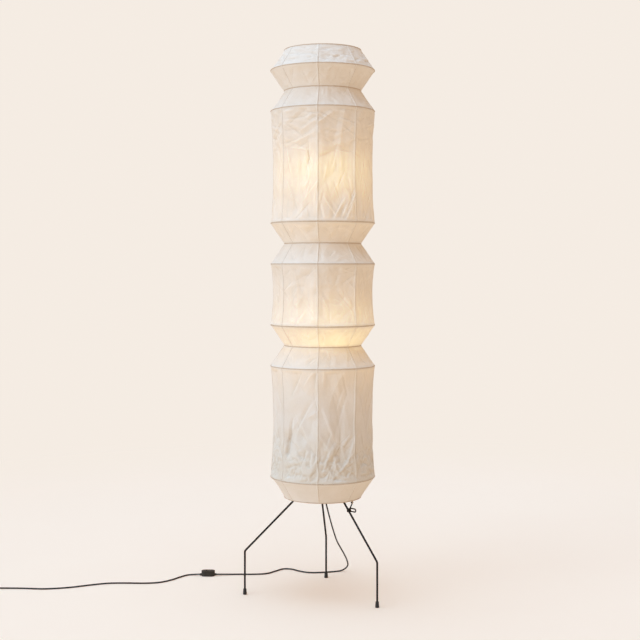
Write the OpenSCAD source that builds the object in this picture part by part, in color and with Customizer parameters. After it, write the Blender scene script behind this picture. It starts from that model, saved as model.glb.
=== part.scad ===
// Paper lantern floor lamp. A tall lantern of stiff paper panels on round wire hoops hangs from
// the top of a pole, and the pole stands in a hub on three bent rod legs. Two bulbs are held
// beside the pole. The lead leaves the hub, runs along the floor through a switch and is wound up.
// The frame's origin is on the floor under the pole, with +Z up and the front towards -Y.

/* [Lantern] */
// Radius of the wide hoops, to the middle of the wire
wide_r = 184.5; // [165:0.5:205]
// Radius of the narrow hoops at both rims and in the three necks
narrow_r = 136; // [120:0.5:150]
// Height of the bottom hoop above the floor
rim_z = 346; // [330:1:380]
// Height of each sloping band between a wide and a narrow hoop
bevel_h = 72.4; // [60:0.1:85]
// Height of the tall band at the bottom
lower_band_h = 392; // [340:1:440]
// Height of the tall band in the middle
middle_band_h = 216; // [190:1:250]
// Height of the tall band at the top
upper_band_h = 396.5; // [340:0.5:440]
// Thickness of the hoop wire
hoop_d = 3.2; // [2.6:0.1:4.2]
// Thickness of the stiff paper
paper_t = 0.8; // [0.6:0.1:1.2]
// How far the seams of the tall bands are drawn in at half their height
waist = 8.5; // [0:0.5:14]
// How flat the tall panels are at half their height, from 0 for round to 1 for flat
tall_flat = 0.9; // [0:0.05:1]
// How flat the sloping panels are at half their height
bevel_flat = 0.4; // [0:0.05:1]
// Number of paper panels round the lantern
panels = 8; // [6:1:10]
// Direction of the front seam from +X, in degrees
seam_az = -95; // [-110:1:-80]

/* [Pole] */
// Outer diameter of the pole tubes
pole_d = 16; // [14:0.5:18]
// Wall of the pole tubes
pole_wall = 1.3; // [1:0.1:2]
// Height of the joint of the two tubes, below the wide hoop over the middle band
joint_drop = 60; // [30:1:90]
// Length of the sleeve inside that joint
coupling_l = 90; // [60:1:120]
// Radius of the shoulder that the lantern rests on
shoulder_r = 11; // [10:0.5:14]
// Thickness of that shoulder
shoulder_h = 4; // [3:0.5:6]
// Diameter of the pin over the shoulder
pin_d = 6.4; // [5:0.1:8]
// How far the pin stands above the crossbar
pin_over = 13; // [8:1:18]

/* [Hub and legs] */
// Height of the legs' meeting point above the bottom hoop
hub_rise = 92; // [80:1:110]
// Diameter of the hub
hub_d = 46; // [42:1:54]
// Height of the hub
hub_h = 36; // [32:1:42]
// Diameter of the leg rods
leg_d = 7; // [5.5:0.1:7.8]
// How far each leg passes to one side of the pole's axis
leg_side = 15; // [13.5:0.5:17]
// Height of the bend in each leg
bend_z = 154; // [130:1:180]
// Radius of that bend, to the middle of the rod
bend_r = 13; // [10:1:20]
// Distance of the left foot from the axis
left_reach = 276; // [240:1:300]
// Distance of the back foot from the axis
back_reach = 215; // [200:1:280]
// Distance of the right foot from the axis
right_reach = 258; // [230:1:300]
// Direction of the left leg from +X, in degrees
left_az = 180; // [170:1:190]
// Direction of the back leg
back_az = 82.5; // [70:0.5:95]
// Direction of the right leg
right_az = -47.5; // [-60:0.5:-35]
// Outer diameter of the sleeves that hold the legs
sleeve_d = 11; // [10:0.5:13]
// Length of those sleeves from the middle plane of the hub
sleeve_l = 44; // [38:1:52]
// Diameter of a rubber foot on the floor
foot_d = 13.5; // [11:0.5:18]
// Height of a rubber foot
foot_h = 20; // [14:1:28]
// Rubber under the end of the rod
foot_floor = 4; // [3:0.5:6]

/* [Lamps] */
// Radius of the round part of a bulb
glass_r = 30; // [26:0.5:34]
// Wall of the bulb's glass
glass_t = 1; // [0.8:0.1:1.5]
// Height of the lower bulb's centre above the lower neck hoop
lower_bulb_up = 47; // [30:1:60]
// Height of the upper bulb's centre above the wide hoop under the upper band
upper_bulb_up = 184; // [130:1:230]
// Distance of the bulbs' axis from the pole's axis
bulb_off = 44; // [43:0.5:50]
// Depth of a bulb from the centre of its glass to the bottom of its cap
bulb_drop = 75; // [70:1:82]
// Radius of the bulb's cap
cap_r = 13.1; // [12.5:0.1:13.5]
// Height of the bulb's cap
cap_h = 24; // [22:1:27]
// Radius of a lampholder
holder_r = 20; // [19:0.5:22]
// Height of a lampholder
holder_h = 46; // [42:1:52]
// Wall of a lampholder's shell
holder_wall = 1.8; // [1.4:0.1:2.4]
// Thickness of a lamp bracket's arm
arm_t = 3; // [2.5:0.1:4]
// Width of that arm
arm_w = 16; // [12:0.5:20]
// Height of a bracket's clamp ring
clamp_h = 16; // [12:1:22]

/* [Lead] */
// Diameter of the lead
cord_d = 5.4; // [4.8:0.1:6]
// Length of the strain relief under the hub
gland_h = 28; // [22:1:36]
// Length of the switch without its noses
switch_l = 50; // [46:1:60]
// Width of the switch
switch_w = 28; // [26:0.5:34]
// Height of the switch
switch_h = 20; // [18:0.5:24]
// Length of each nose of the switch
nose_l = 6; // [4:0.5:10]
// How far the rocker is tilted at either end of its travel, in degrees
rocker_tilt = 8; // [5:0.5:9]
// Length of the plug's tapered boot
boot_l = 22; // [20:1:30]
// Length of the plug's body
plug_l = 36; // [32:1:42]
// Width of the plug's body
plug_w = 35; // [32:1:38]
// Diameter of a plug pin
plug_pin_d = 4; // [3.8:0.1:4.8]
// Spacing of the plug pins
plug_pin_gap = 19; // [18:0.1:19.5]
// Length of the plug pins outside the plug
plug_pin_l = 19; // [16:0.5:20]

/* [Hook] */
// Thickness of the hook's wire
hook_d = 4.4; // [3:0.1:4.8]
// How far the clasp sits inwards of the bottom hoop
hook_in = 16; // [10:0.5:24]
// Length of the finger ring
ring_l = 34; // [28:1:40]
// Height of the finger ring
ring_h = 15; // [14:0.5:18]

/* [Hidden] */

$fn = 48;
wire_fn = 24;            // sides of thin wires and rods in previews
cut = 1;                 // how far a cutting shape runs past a face
body_gap = 0.35;         // between pieces that move past each other
fit = 0.05;              // radial clearance of a rod or a tube in its bore
screw_r = 2;             // clamping screws of the hub and the brackets
weld = 0.8;              // how far a welded wire end sinks into its neighbour
paper_edge = 0.9;        // from the middle of a hoop's wire to the edge of the glued paper
seam_gap = 0.3;          // between neighbouring paper panels
panel_columns = 4;       // steps across one paper panel

// Hoop heights, from the floor up
low_wide_z = rim_z + bevel_h;
lower_top_z = low_wide_z + lower_band_h;
lower_neck_z = lower_top_z + bevel_h;
middle_low_z = lower_neck_z + bevel_h;
middle_top_z = middle_low_z + middle_band_h;
upper_neck_z = middle_top_z + bevel_h;
upper_low_z = upper_neck_z + bevel_h;
upper_top_z = upper_low_z + upper_band_h;
top_neck_z = upper_top_z + bevel_h;
top_wide_z = top_neck_z + bevel_h;
top_z = top_wide_z + bevel_h;

// Pole
pole_r = pole_d / 2;
pole_bore_r = pole_r - pole_wall;
hub_z = rim_z + hub_rise;
hub_low_z = hub_z - hub_h / 2;
pole_foot_z = hub_low_z + 8;
joint_z = middle_top_z - joint_drop;
shoulder_z = top_z - hoop_d / 2 - body_gap;
pole_top_z = shoulder_z - shoulder_h;
eye_r = shoulder_r - 1;
spigot_l = 14;
upper_bulb_z = upper_low_z + upper_bulb_up;
lower_bulb_z = lower_neck_z + lower_bulb_up;

// Lampholder and bracket, measured down from the centre of the bulb's glass
holder_top = -bulb_drop + cap_h - 1.5;
holder_low = holder_top - holder_h;
holder_floor = 2.5;
bore_floor = -bulb_drop - 2;
sleeve_t = 0.6;
bore_r = cap_r + 2 * fit + 0.3 + sleeve_t;
core_r = holder_r - holder_wall - fit;
nipple_r = 5;
nipple_bore_r = nipple_r - 1.4;
nipple_low = holder_low - arm_t - 4;
nipple_top = holder_low + holder_floor + 3;
nut_r = 7.5;
nut_h = 3;
lead_bend_r = 10;
lead_drop = nipple_low - 14 - lead_bend_r;
lead_hole_r = cord_d / 2 + 1;
clamp_wall = 4;

// Lead
cord_r = cord_d / 2;
gland_z = hub_low_z - gland_h;
cord_sides = 8;
lay_z = 2.8;             // height of the lead's middle where it lies on the floor

// Switch, on the floor at the middle of the visible lead
switch_at = [-430, 242];
switch_half = switch_l / 2 + nose_l;
split_z = switch_h / 2;
shell_t = 2;
nose_z = 5.5;
window_l = 17;
window_w = 10.6;
rocker_l = window_l - 2.6;
rocker_w = window_w - 2 * body_gap;
pivot_z = switch_h - 7;
pivot_r = 1.5;
ear_t = 2.6;
ear_h = 6;
post_x = switch_l / 2 - 8;
post_r = 3.2;
post_screw_r = 1.5;

// Coil beside the far end of the lead, wound inwards and out again in two layers
coil_at = [-1270, 96];
coil_r = 36;             // radius where the lead enters
coil_pitch = cord_d + 0.6;
layer_z = cord_d + 0.5;
coil_low_z = cord_r + 0.9;
coil_in = 2.25;          // turns from the entry to the middle of the climb
coil_out = 2;            // turns from there to the exit
coil_steps = 24;
coil_sides = 6;
coil_mid_r = coil_r - coil_in * coil_pitch;
coil_end_r = coil_mid_r + coil_out * coil_pitch;
coil_top_z = coil_low_z + layer_z;
coil_entry_y = coil_at[1] - coil_r;
tie_w = 6;
tie_t = 0.7;
tie_gap = 0.1;

// Plug, in line with the end of the lead
plug_x = coil_at[0] - coil_end_r;
tail_y = coil_at[1] + cord_d;
plug_lead_l = 36;
plug_y = tail_y + plug_lead_l;
plug_t = 14.4;
plug_z = plug_t / 2;
plug_nose_w = 16;
pin_sink = 8;

// The lead from the strain relief to the switch: down beside the back leg, round and along
straight_l = 18;         // how far the lead hangs straight down first
nose_lead = 8;           // straight stretch at each end of the switch
mains_route = [
  [0, 0, gland_z], [0, 0, gland_z - straight_l], [5, 18, 345], [14, 53, 302], [25, 98, 251],
  [39, 155, 191], [54, 206, 138], [69, 237, 104], [84, 264, 72], [94, 285, 44],
  [96, 299, 25], [86, 306, 11], [69, 304, 3.4], [40, 292, lay_z], [-8, 280, lay_z],
  [-54, 280, lay_z], [-90, 303, lay_z], [-119, 330, lay_z], [-149, 334, lay_z],
  [-178, 302, lay_z], [-211, 264, lay_z], [-262, 253, lay_z], [-320, 253, lay_z],
  [-362, 248, 3.9], [switch_at[0] + switch_half + nose_lead, switch_at[1], nose_z],
  [switch_at[0] + switch_half, switch_at[1], nose_z]
];

// The lead from the switch to the coil
plug_route = [
  [switch_at[0] - switch_half, switch_at[1], nose_z],
  [switch_at[0] - switch_half - nose_lead, switch_at[1], nose_z],
  [-486, 246, 3.7], [-507, 243, lay_z], [-530, 216, lay_z], [-560, 171, lay_z],
  [-600, 136, lay_z], [-652, 125, lay_z], [-718, 127, lay_z], [-784, 124, lay_z],
  [-850, 98, lay_z], [-920, 65, lay_z], [-1000, 48, lay_z], [-1080, 55, lay_z],
  [-1155, 58, lay_z], [coil_at[0] + 52, coil_entry_y, lay_z + 0.3],
  [coil_at[0] + 3 * cord_d, coil_entry_y, coil_low_z],
  [coil_at[0] + cord_d, coil_entry_y, coil_low_z]
];

// The short stretch from the coil to the plug
lead_route = [
  [plug_x, tail_y, coil_top_z], [plug_x, tail_y + 7, coil_top_z],
  [plug_x, tail_y + 18, 8.4], [plug_x, plug_y - 6, plug_z], [plug_x, plug_y, plug_z]
];

// ---- Sweeps and panels ----

function unit(v) = v / norm(v);
function last(list) = list[len(list) - 1];

// A smooth curve through the points of a route, with one more point half way along each step
function halfway(p, i) =
  let (a = p[max(i - 1, 0)], b = p[i], c = p[i + 1], d = p[min(i + 2, len(p) - 1)])
  (9 * (b + c) - a - d) / 16;
function smooth(p) = [
  for (i = [0 : len(p) - 2]) each (i == 0 || i == len(p) - 2) ? [p[i]] : [p[i], halfway(p, i)],
  last(p)
];

function heading(p, i) = unit(p[min(i + 1, len(p) - 1)] - p[max(i - 1, 0)]);
function square_to(v, d) = unit(v - (v * d) * d);
function side_ways(p, first) = [
  for (
    i = 0, s = square_to(first, heading(p, 0));
    i < len(p);
    s = square_to(s, heading(p, min(i + 1, len(p) - 1))), i = i + 1
  ) s
];
function ring_point(p, d, s, r, a) = p + r * (cos(a) * s + sin(a) * cross(d, s));

// Faces of a closed skin over rings of n points each, with both ends capped
function ring_faces(rings, n) = concat(
  [for (i = [0 : rings - 2], k = [0 : n - 1]) [i * n + k, i * n + (k + 1) % n, (i + 1) * n + k]],
  [for (i = [0 : rings - 2], k = [0 : n - 1])
    [i * n + (k + 1) % n, (i + 1) * n + (k + 1) % n, (i + 1) * n + k]],
  [for (k = [1 : n - 2]) [0, k + 1, k]],
  [for (k = [1 : n - 2]) let (e = (rings - 1) * n) [e, e + k, e + k + 1]]
);

module sweep(p, r, sides, first) {
  across = side_ways(p, first);
  points = [
    for (i = [0 : len(p) - 1], k = [0 : sides - 1])
      ring_point(p[i], heading(p, i), across[i], r, (k + 0.5) * 360 / sides)
  ];
  polyhedron(points, ring_faces(len(p), sides));
}

// How flat a band is at height v of it, and the radius of its paper at angle t from a panel's middle
function flatness(v, flat) = flat * (1 - pow(abs(2 * v - 1), 3));
function panel_r(v, t, r0, r1, flat, draw) =
  let (r = r0 + (r1 - r0) * v - draw * 4 * v * (1 - v), f = flatness(v, flat))
  r * (1 - f) + f * r * cos(180 / panels) / cos(t);

function panel_point(v, s, side, low, high, flat, draw) =
  let (
    half = 180 / panels - asin(seam_gap / 2 / min(low[0], high[0])),
    t = half * s,
    r = panel_r(v, t, low[0], high[0], flat, draw) + side * paper_t / 2
  )
  [r * cos(t), r * sin(t), low[1] + (high[1] - low[1]) * v];

// One panel between two hoops, each given as its radius and height. Its outer side and its inner
// side are split along the same diagonals, so the paper keeps its thickness
module paper_panel(low, high, flat, draw, rows) {
  outer = [for (j = [0 : panel_columns]) 2 * j / panel_columns - 1];
  inner = [for (j = [panel_columns : -1 : 0]) 2 * j / panel_columns - 1];
  points = [
    for (i = [0 : rows]) each concat(
      [for (s = outer) panel_point(i / rows, s, 1, low, high, flat, draw)],
      [for (s = inner) panel_point(i / rows, s, -1, low, high, flat, draw)]
    )
  ];
  n = 2 * panel_columns + 2;
  walls = [
    for (i = [0 : rows - 1], k = [0 : n - 1])
      let (a = i * n + k, b = i * n + (k + 1) % n, c = a + n, d = b + n)
      each k < panel_columns ? [[a, c, b], [b, c, d]] : [[a, c, d], [a, d, b]]
  ];
  ends = [
    for (e = [0, rows * n], j = [0 : panel_columns - 1])
      let (a = e + j, b = e + j + 1, c = e + n - 2 - j, d = e + n - 1 - j)
      each e == 0 ? [[a, b, d], [b, c, d]] : [[a, d, b], [b, d, c]]
  ];
  polyhedron(points, concat(walls, ends));
}

module paper_band(r0, z0, r1, z1, flat, draw, rows, lift = paper_edge, drop = paper_edge) {
  color("antiquewhite")
    for (k = [0 : panels - 1])
      rotate(seam_az + (k + 0.5) * 360 / panels)
        paper_panel([r0, z0 + lift], [r1, z1 - drop], flat, draw, rows);
}

// A band of each kind: spreading upwards, drawing in upwards, and upright
module spreading_band(z) { paper_band(narrow_r, z, wide_r, z + bevel_h, bevel_flat, 0, 2); }
module narrowing_band(z) { paper_band(wide_r, z, narrow_r, z + bevel_h, bevel_flat, 0, 2); }
module upright_band(z, h) {
  paper_band(wide_r, z, wide_r, z + h, tall_flat, waist, 6, lift = hoop_d / 2 + body_gap);
}

module hoop(r, z) {
  color("tan")
    translate([0, 0, z])
      rotate_extrude($fn = 96)
        translate([r, 0])
          circle(d = hoop_d, $fn = wire_fn);
}

// ---- Legs, hub and feet ----

// Moves to a leg's own upright plane, where X points outwards
module in_leg_plane(az) { rotate(az) translate([0, leg_side, 0]) children(); }
function leg_fall(reach) = atan2(hub_z - bend_z, reach);
leg_start = 4;
bend_swell = 0.1;        // the rod is a little thicker where it was bent
bend_lap = 1;            // how far its straight ends run into the bend

// A bent rod: slanting down from the hub, then upright over its foot
module leg(az, reach) {
  fall = leg_fall(reach);
  turn = 90 - fall;
  tangent = bend_r * tan(turn / 2);
  slant = norm([reach, hub_z - bend_z]) - tangent + bend_lap;
  color("black")
    in_leg_plane(az) {
      translate([0, 0, hub_z])
        rotate([0, 90 + fall, 0])
          translate([0, 0, leg_start])
            cylinder(d = leg_d, h = slant - leg_start, $fn = wire_fn);
      translate([reach - bend_r, 0, bend_z - tangent])
        rotate([90, 0, 0])
          rotate_extrude(angle = turn)
            translate([bend_r, 0])
              circle(d = leg_d + bend_swell, $fn = wire_fn);
      translate([reach, 0, foot_floor])
        cylinder(d = leg_d, h = bend_z - tangent - foot_floor + bend_lap, $fn = wire_fn);
    }
}

// A bell-shaped rubber foot pushed over the end of the rod
module foot(az, reach) {
  lip_h = 6;
  top_d = leg_d + 4;
  color("dimgray")
    in_leg_plane(az)
      translate([reach, 0, 0])
        difference() {
          union() {
            cylinder(d = foot_d, h = lip_h);
            translate([0, 0, lip_h])
              cylinder(d1 = foot_d, d2 = top_d, h = foot_h - lip_h);
          }
          translate([0, 0, foot_floor])
            cylinder(d = leg_d + 2 * fit, h = foot_h);
        }
}

module each_leg() {
  in_leg_plane(left_az) translate([0, 0, hub_z]) rotate([0, 90 + leg_fall(left_reach), 0]) children();
  in_leg_plane(back_az) translate([0, 0, hub_z]) rotate([0, 90 + leg_fall(back_reach), 0]) children();
  in_leg_plane(right_az) translate([0, 0, hub_z]) rotate([0, 90 + leg_fall(right_reach), 0]) children();
}

hub_screw_l = 6;
sleeve_screw_at = sleeve_l - 8;
pole_screw_z = hub_z + 9;

// A turned boss with three slanting sleeves for the legs and a socket for the pole
module leg_hub() {
  color("black")
    difference() {
      union() {
        translate([0, 0, hub_low_z])
          cylinder(d = hub_d, h = hub_h);
        each_leg() cylinder(d = sleeve_d, h = sleeve_l);
      }
      each_leg() translate([0, 0, leg_start]) cylinder(r = leg_d / 2 + fit, h = sleeve_l);
      each_leg() translate([0, 0, sleeve_screw_at]) rotate([0, 90, 0]) cylinder(r = screw_r, h = sleeve_d);
      translate([0, 0, pole_foot_z])
        cylinder(r = pole_r + fit, h = hub_h);
      translate([0, 0, hub_low_z - cut])
        cylinder(r = cord_r + fit, h = hub_h);
      translate([0, 0, pole_screw_z])
        rotate([0, 90, seam_az])
          cylinder(r = screw_r, h = hub_d);
    }
}

module hub_screws() {
  color("silver") {
    each_leg()
      translate([leg_d / 2 + fit, 0, sleeve_screw_at])
        rotate([0, 90, 0])
          grub_screw(hub_screw_l);
    translate([0, 0, pole_screw_z])
      rotate([0, 90, seam_az])
        translate([0, 0, pole_r + fit])
          grub_screw(hub_d / 2 - pole_r);
  }
}

// A headless screw with a hexagon socket
module grub_screw(length) {
  difference() {
    cylinder(r = screw_r - fit, h = length);
    translate([0, 0, length - 2])
      cylinder(r = 1.1, h = 3, $fn = 6);
  }
}

// ---- Pole ----

module tube(r, bore, z0, z1) {
  difference() {
    translate([0, 0, z0]) cylinder(r = r, h = z1 - z0);
    translate([0, 0, z0 - cut]) cylinder(r = bore, h = z1 - z0 + 2 * cut);
  }
}

// The hole in the front of the pole where a lamp's lead comes out
module lead_hole(z) {
  translate([0, 0, z])
    rotate([90, 0, 0])
      cylinder(r = lead_hole_r, h = pole_d);
}

module lower_pole() {
  color("black")
    difference() {
      tube(pole_r, pole_bore_r, pole_foot_z, joint_z);
      lead_hole(lower_bulb_z + lead_drop);
    }
}

module upper_pole() {
  color("black")
    difference() {
      tube(pole_r, pole_bore_r, joint_z, pole_top_z);
      lead_hole(upper_bulb_z + lead_drop);
    }
}

module pole_coupling() {
  coupling_wall = 2.2;
  color("silver")
    tube(pole_bore_r - fit, pole_bore_r - coupling_wall, joint_z - coupling_l / 2, joint_z + coupling_l / 2);
}

// A plug in the top of the pole, with the shoulder and the pin that carry the lantern
module pole_cap() {
  pin_top = top_z + hoop_d / 2 + pin_over;
  tip_h = 2;
  color("silver") {
    translate([0, 0, pole_top_z - spigot_l])
      cylinder(r = pole_bore_r - fit, h = spigot_l);
    translate([0, 0, pole_top_z])
      cylinder(r = shoulder_r, h = shoulder_h);
    translate([0, 0, shoulder_z])
      cylinder(d = pin_d, h = pin_top - tip_h - shoulder_z);
    translate([0, 0, pin_top - tip_h])
      cylinder(d1 = pin_d, d2 = pin_d - 2 * tip_h, h = tip_h);
  }
}

// ---- Lamps ----

module at_bulb(z) { translate([0, -bulb_off, z]) children(); }

// A clamp ring on the pole with a flat arm that carries the lampholder
module bulb_bracket(z) {
  clamp_r = pole_r + clamp_wall;
  arm_z = z + holder_low - arm_t;
  color("silver")
    difference() {
      union() {
        translate([0, 0, arm_z + arm_t / 2 - clamp_h / 2])
          cylinder(r = clamp_r, h = clamp_h);
        translate([-arm_w / 2, -bulb_off, arm_z])
          cube([arm_w, bulb_off, arm_t]);
        translate([0, -bulb_off, arm_z])
          cylinder(r = arm_w * 0.8, h = arm_t);
      }
      translate([0, 0, arm_z - clamp_h])
        cylinder(r = pole_r + fit, h = 2 * clamp_h);
      translate([0, -bulb_off, arm_z - cut])
        cylinder(r = nipple_r + fit, h = arm_t + 2 * cut);
      translate([0, 0, arm_z + arm_t / 2])
        rotate([0, 90, 90])
          cylinder(r = screw_r, h = 2 * clamp_r);
    }
}

module bracket_screws() {
  color("silver")
    for (z = [lower_bulb_z, upper_bulb_z])
      translate([0, 0, z + holder_low - arm_t / 2])
        rotate([0, 90, 90])
          translate([0, 0, pole_r + fit])
            grub_screw(clamp_wall + 1);
}

// A hollow threaded stem through the arm and the lampholder's floor, with a nut under the arm
module holder_nipples() {
  color("goldenrod")
    for (z = [lower_bulb_z, upper_bulb_z])
      at_bulb(z)
        difference() {
          union() {
            translate([0, 0, nipple_low])
              cylinder(r = nipple_r, h = nipple_top - nipple_low);
            translate([0, 0, holder_low - arm_t - nut_h])
              cylinder(r = nut_r, h = nut_h, $fn = 6);
            translate([0, 0, holder_low + holder_floor])
              cylinder(r = nut_r, h = nut_h, $fn = 6);
          }
          translate([0, 0, nipple_low - cut])
            cylinder(r = nipple_bore_r, h = nipple_top - nipple_low + 2 * cut);
        }
}

module lampholder_shell(z) {
  color("black")
    at_bulb(z)
      difference() {
        translate([0, 0, holder_low])
          cylinder(r = holder_r, h = holder_h);
        translate([0, 0, holder_low + holder_floor])
          cylinder(r = holder_r - holder_wall, h = holder_h);
        translate([0, 0, holder_low - cut])
          cylinder(r = nipple_r + fit, h = holder_h);
      }
}

// The insulating body inside the shell, open at the top for the bulb's cap
module lampholder_core(z) {
  core_low = holder_low + holder_floor;
  recess_h = nut_h + 1;
  color("whitesmoke")
    at_bulb(z)
      difference() {
        translate([0, 0, core_low])
          cylinder(r = core_r, h = holder_top - core_low - 1);
        translate([0, 0, bore_floor])
          cylinder(r = bore_r, h = holder_h);
        translate([0, 0, core_low - cut])
          cylinder(r = cord_r + fit, h = holder_h);
        translate([0, 0, core_low - cut])
          cylinder(r = nut_r + fit, h = recess_h + cut);
      }
}

// The thread sleeve round the cap and the tab under its tip, for both lampholders
module lampholder_contacts() {
  tab_t = 1.2;
  tab_r = 4;
  color("goldenrod")
    for (z = [lower_bulb_z, upper_bulb_z])
      at_bulb(z) {
        difference() {
          translate([0, 0, bore_floor + 3])
            cylinder(r = bore_r - fit, h = cap_h - 7);
          translate([0, 0, bore_floor])
            cylinder(r = bore_r - sleeve_t, h = holder_h);
        }
        translate([0, 0, bore_floor])
          cylinder(r = tab_r, h = tab_t);
      }
}

// Half outline of a bulb: round on top, with a neck that narrows to the cap
module bulb_outline(shrink) {
  cap_top = cap_h - bulb_drop;
  neck_r = cap_r - 1 - shrink;
  intersection() {
    union() {
      circle(r = glass_r - shrink);
      polygon([
        [0, cap_top], [neck_r, cap_top], [neck_r + 1.5, cap_top + 9],
        [glass_r * 0.86 - shrink, -glass_r * 0.5], [0, 0]
      ]);
    }
    translate([0, -bulb_drop])
      square(2 * bulb_drop);
  }
}

module bulb_glass(z) {
  color("ivory")
    at_bulb(z)
      rotate_extrude()
        difference() {
          bulb_outline(0);
          bulb_outline(glass_t);
        }
}

module bulb_cap(z) {
  tip_h = 3;
  color("silver")
    at_bulb(z)
      difference() {
        union() {
          translate([0, 0, -bulb_drop])
            cylinder(r1 = 5, r2 = cap_r - 1, h = tip_h);
          translate([0, 0, tip_h - bulb_drop])
            cylinder(r = cap_r, h = cap_h - tip_h);
        }
        translate([0, 0, tip_h + 2 - bulb_drop])
          cylinder(r = cap_r - 1.5, h = cap_h);
      }
}

// The lead inside the pole, with a branch through a hole in the pole up to each lampholder
module inner_lead() {
  color("dimgray") {
    translate([0, 0, gland_z])
      cylinder(r = cord_r, h = upper_bulb_z + lead_drop - gland_z);
    for (z = [lower_bulb_z, upper_bulb_z])
      lamp_branch(z);
  }
}

module lamp_branch(z) {
  run_z = z + lead_drop;
  lead_top = bore_floor - 4;
  translate([0, 0, run_z])
    sphere(r = cord_r);
  translate([0, 0, run_z])
    rotate([90, 0, 0])
      cylinder(r = cord_r, h = bulb_off - lead_bend_r);
  translate([0, lead_bend_r - bulb_off, run_z + lead_bend_r])
    rotate([90, 0, -90])
      rotate_extrude(angle = -90)
        translate([lead_bend_r, 0])
          circle(r = cord_r, $fn = wire_fn);
  translate([0, -bulb_off, run_z + lead_bend_r])
    cylinder(r = cord_r, h = lead_top - lead_drop - lead_bend_r);
}

// A tapered strain relief under the hub
module cord_gland() {
  color("black")
    difference() {
      translate([0, 0, gland_z])
        cylinder(r1 = cord_r + 1, r2 = cord_r + 4, h = gland_h);
      translate([0, 0, gland_z - cut])
        cylinder(r = cord_r + fit, h = gland_h + 2 * cut);
    }
}

// ---- Lead on the floor ----

module mains_cord() { color("black") sweep(smooth(mains_route), cord_r, cord_sides, [1, 0, 0]); }
module plug_cord() { color("black") sweep(smooth(plug_route), cord_r, cord_sides, [0, 0, 1]); }
module plug_lead() { color("black") sweep(lead_route, cord_r, cord_sides, [0, 0, 1]); }

// Angle, radius and height of the coil's middle line after a number of turns
function coil_point(turns) =
  let (
    a = -90 - 360 * turns,
    r = coil_mid_r + coil_pitch * abs(turns - coil_in),
    climb = min(max((turns - coil_in) * 2 + 0.5, 0), 1)
  )
  [coil_at[0] + r * cos(a), coil_at[1] + r * sin(a), coil_low_z + layer_z * climb];

coil_count = (coil_in + coil_out) * coil_steps;
coil_path = concat(
  [[coil_at[0] + cord_d, coil_entry_y, coil_low_z]],
  [for (i = [0 : coil_count]) coil_point(i / coil_steps)],
  [[plug_x, tail_y, coil_top_z]]
);
// Least distance between the coil's middle lines more than half a turn apart, less one diameter
coil_gap = min([
  for (i = [0 : coil_count - coil_steps / 2], j = [i + coil_steps / 2 : coil_count])
    norm(coil_path[i] - coil_path[j])
]) - cord_d;
echo(coil_least_gap = coil_gap);

module cord_coil() { color("black") sweep(coil_path, cord_r, coil_sides, [0, 0, 1]); }

// A strap round the four strands of the coil, on the side towards the lamp
module coil_tie() {
  strand_in = coil_mid_r + 0.5 * coil_pitch - cord_r - tie_gap;
  strand_out = coil_mid_r + 1.5 * coil_pitch + cord_r + tie_gap;
  inner_h = coil_top_z + cord_r + tie_gap - tie_t;
  color("dimgray")
    translate([coil_at[0], coil_at[1], 0])
      difference() {
        translate([strand_in - tie_t, -tie_w / 2, 0])
          cube([strand_out - strand_in + 2 * tie_t, tie_w, inner_h + 2 * tie_t]);
        translate([strand_in, -tie_w, tie_t])
          cube([strand_out - strand_in, 2 * tie_w, inner_h]);
      }
}

// A flat plug for two round pins, with a tapered boot
module plug_body() {
  shoulder_l = 12;
  color("black")
    translate([plug_x, plug_y, plug_z])
      difference() {
        union() {
          rotate([-90, 0, 0])
            cylinder(r1 = cord_r + 1, r2 = plug_z - 1, h = boot_l);
          translate([0, boot_l, -plug_z])
            linear_extrude(plug_t)
              polygon([
                [-plug_nose_w / 2, 0], [plug_nose_w / 2, 0], [plug_w / 2, shoulder_l],
                [plug_w / 2, plug_l], [-plug_w / 2, plug_l], [-plug_w / 2, shoulder_l]
              ]);
        }
        at_plug_pins(plug_pin_d / 2 + fit, pin_sink + cut);
      }
}

module at_plug_pins(r, length) {
  for (side = [-1, 1])
    translate([side * plug_pin_gap / 2, boot_l + plug_l - pin_sink, 0])
      rotate([-90, 0, 0])
        cylinder(r = r, h = length);
}

module plug_pins() {
  color("silver")
    translate([plug_x, plug_y, plug_z])
      at_plug_pins(plug_pin_d / 2, pin_sink + plug_pin_l);
}

// ---- Switch ----

module at_switch() { translate([switch_at[0], switch_at[1], 0]) children(); }

module oval(length, width) {
  square([length - width, width], center = true);
  for (side = [-1, 1])
    translate([side * (length - width) / 2, 0])
      circle(d = width);
}

module switch_base() {
  color("black")
    at_switch()
      difference() {
        union() {
          linear_extrude(split_z)
            oval(switch_l, switch_w);
          for (side = [-1, 1])
            translate([side * (switch_l / 2 - 2), 0, nose_z])
              rotate([0, side * 90, 0])
                cylinder(r1 = nose_z - 1, r2 = cord_r + 1, h = nose_l + 2);
        }
        translate([0, 0, shell_t])
          linear_extrude(split_z)
            oval(2 * (post_x - post_r) - 1, switch_w - 2 * shell_t);
        switch_posts(post_screw_r + fit, -cut, split_z + cut);
        switch_posts(post_screw_r + 1.5 + fit, -cut, 1.5);
      }
}

module switch_posts(r, z0, z1) {
  for (side = [-1, 1])
    translate([side * post_x, 0, z0])
      cylinder(r = r, h = z1 - z0);
}

module switch_screws() {
  color("silver")
    at_switch() {
      switch_posts(post_screw_r, 0.5, switch_h - shell_t - 3);
      switch_posts(post_screw_r + 1.5, 0.5, 1.5);
    }
}

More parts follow.
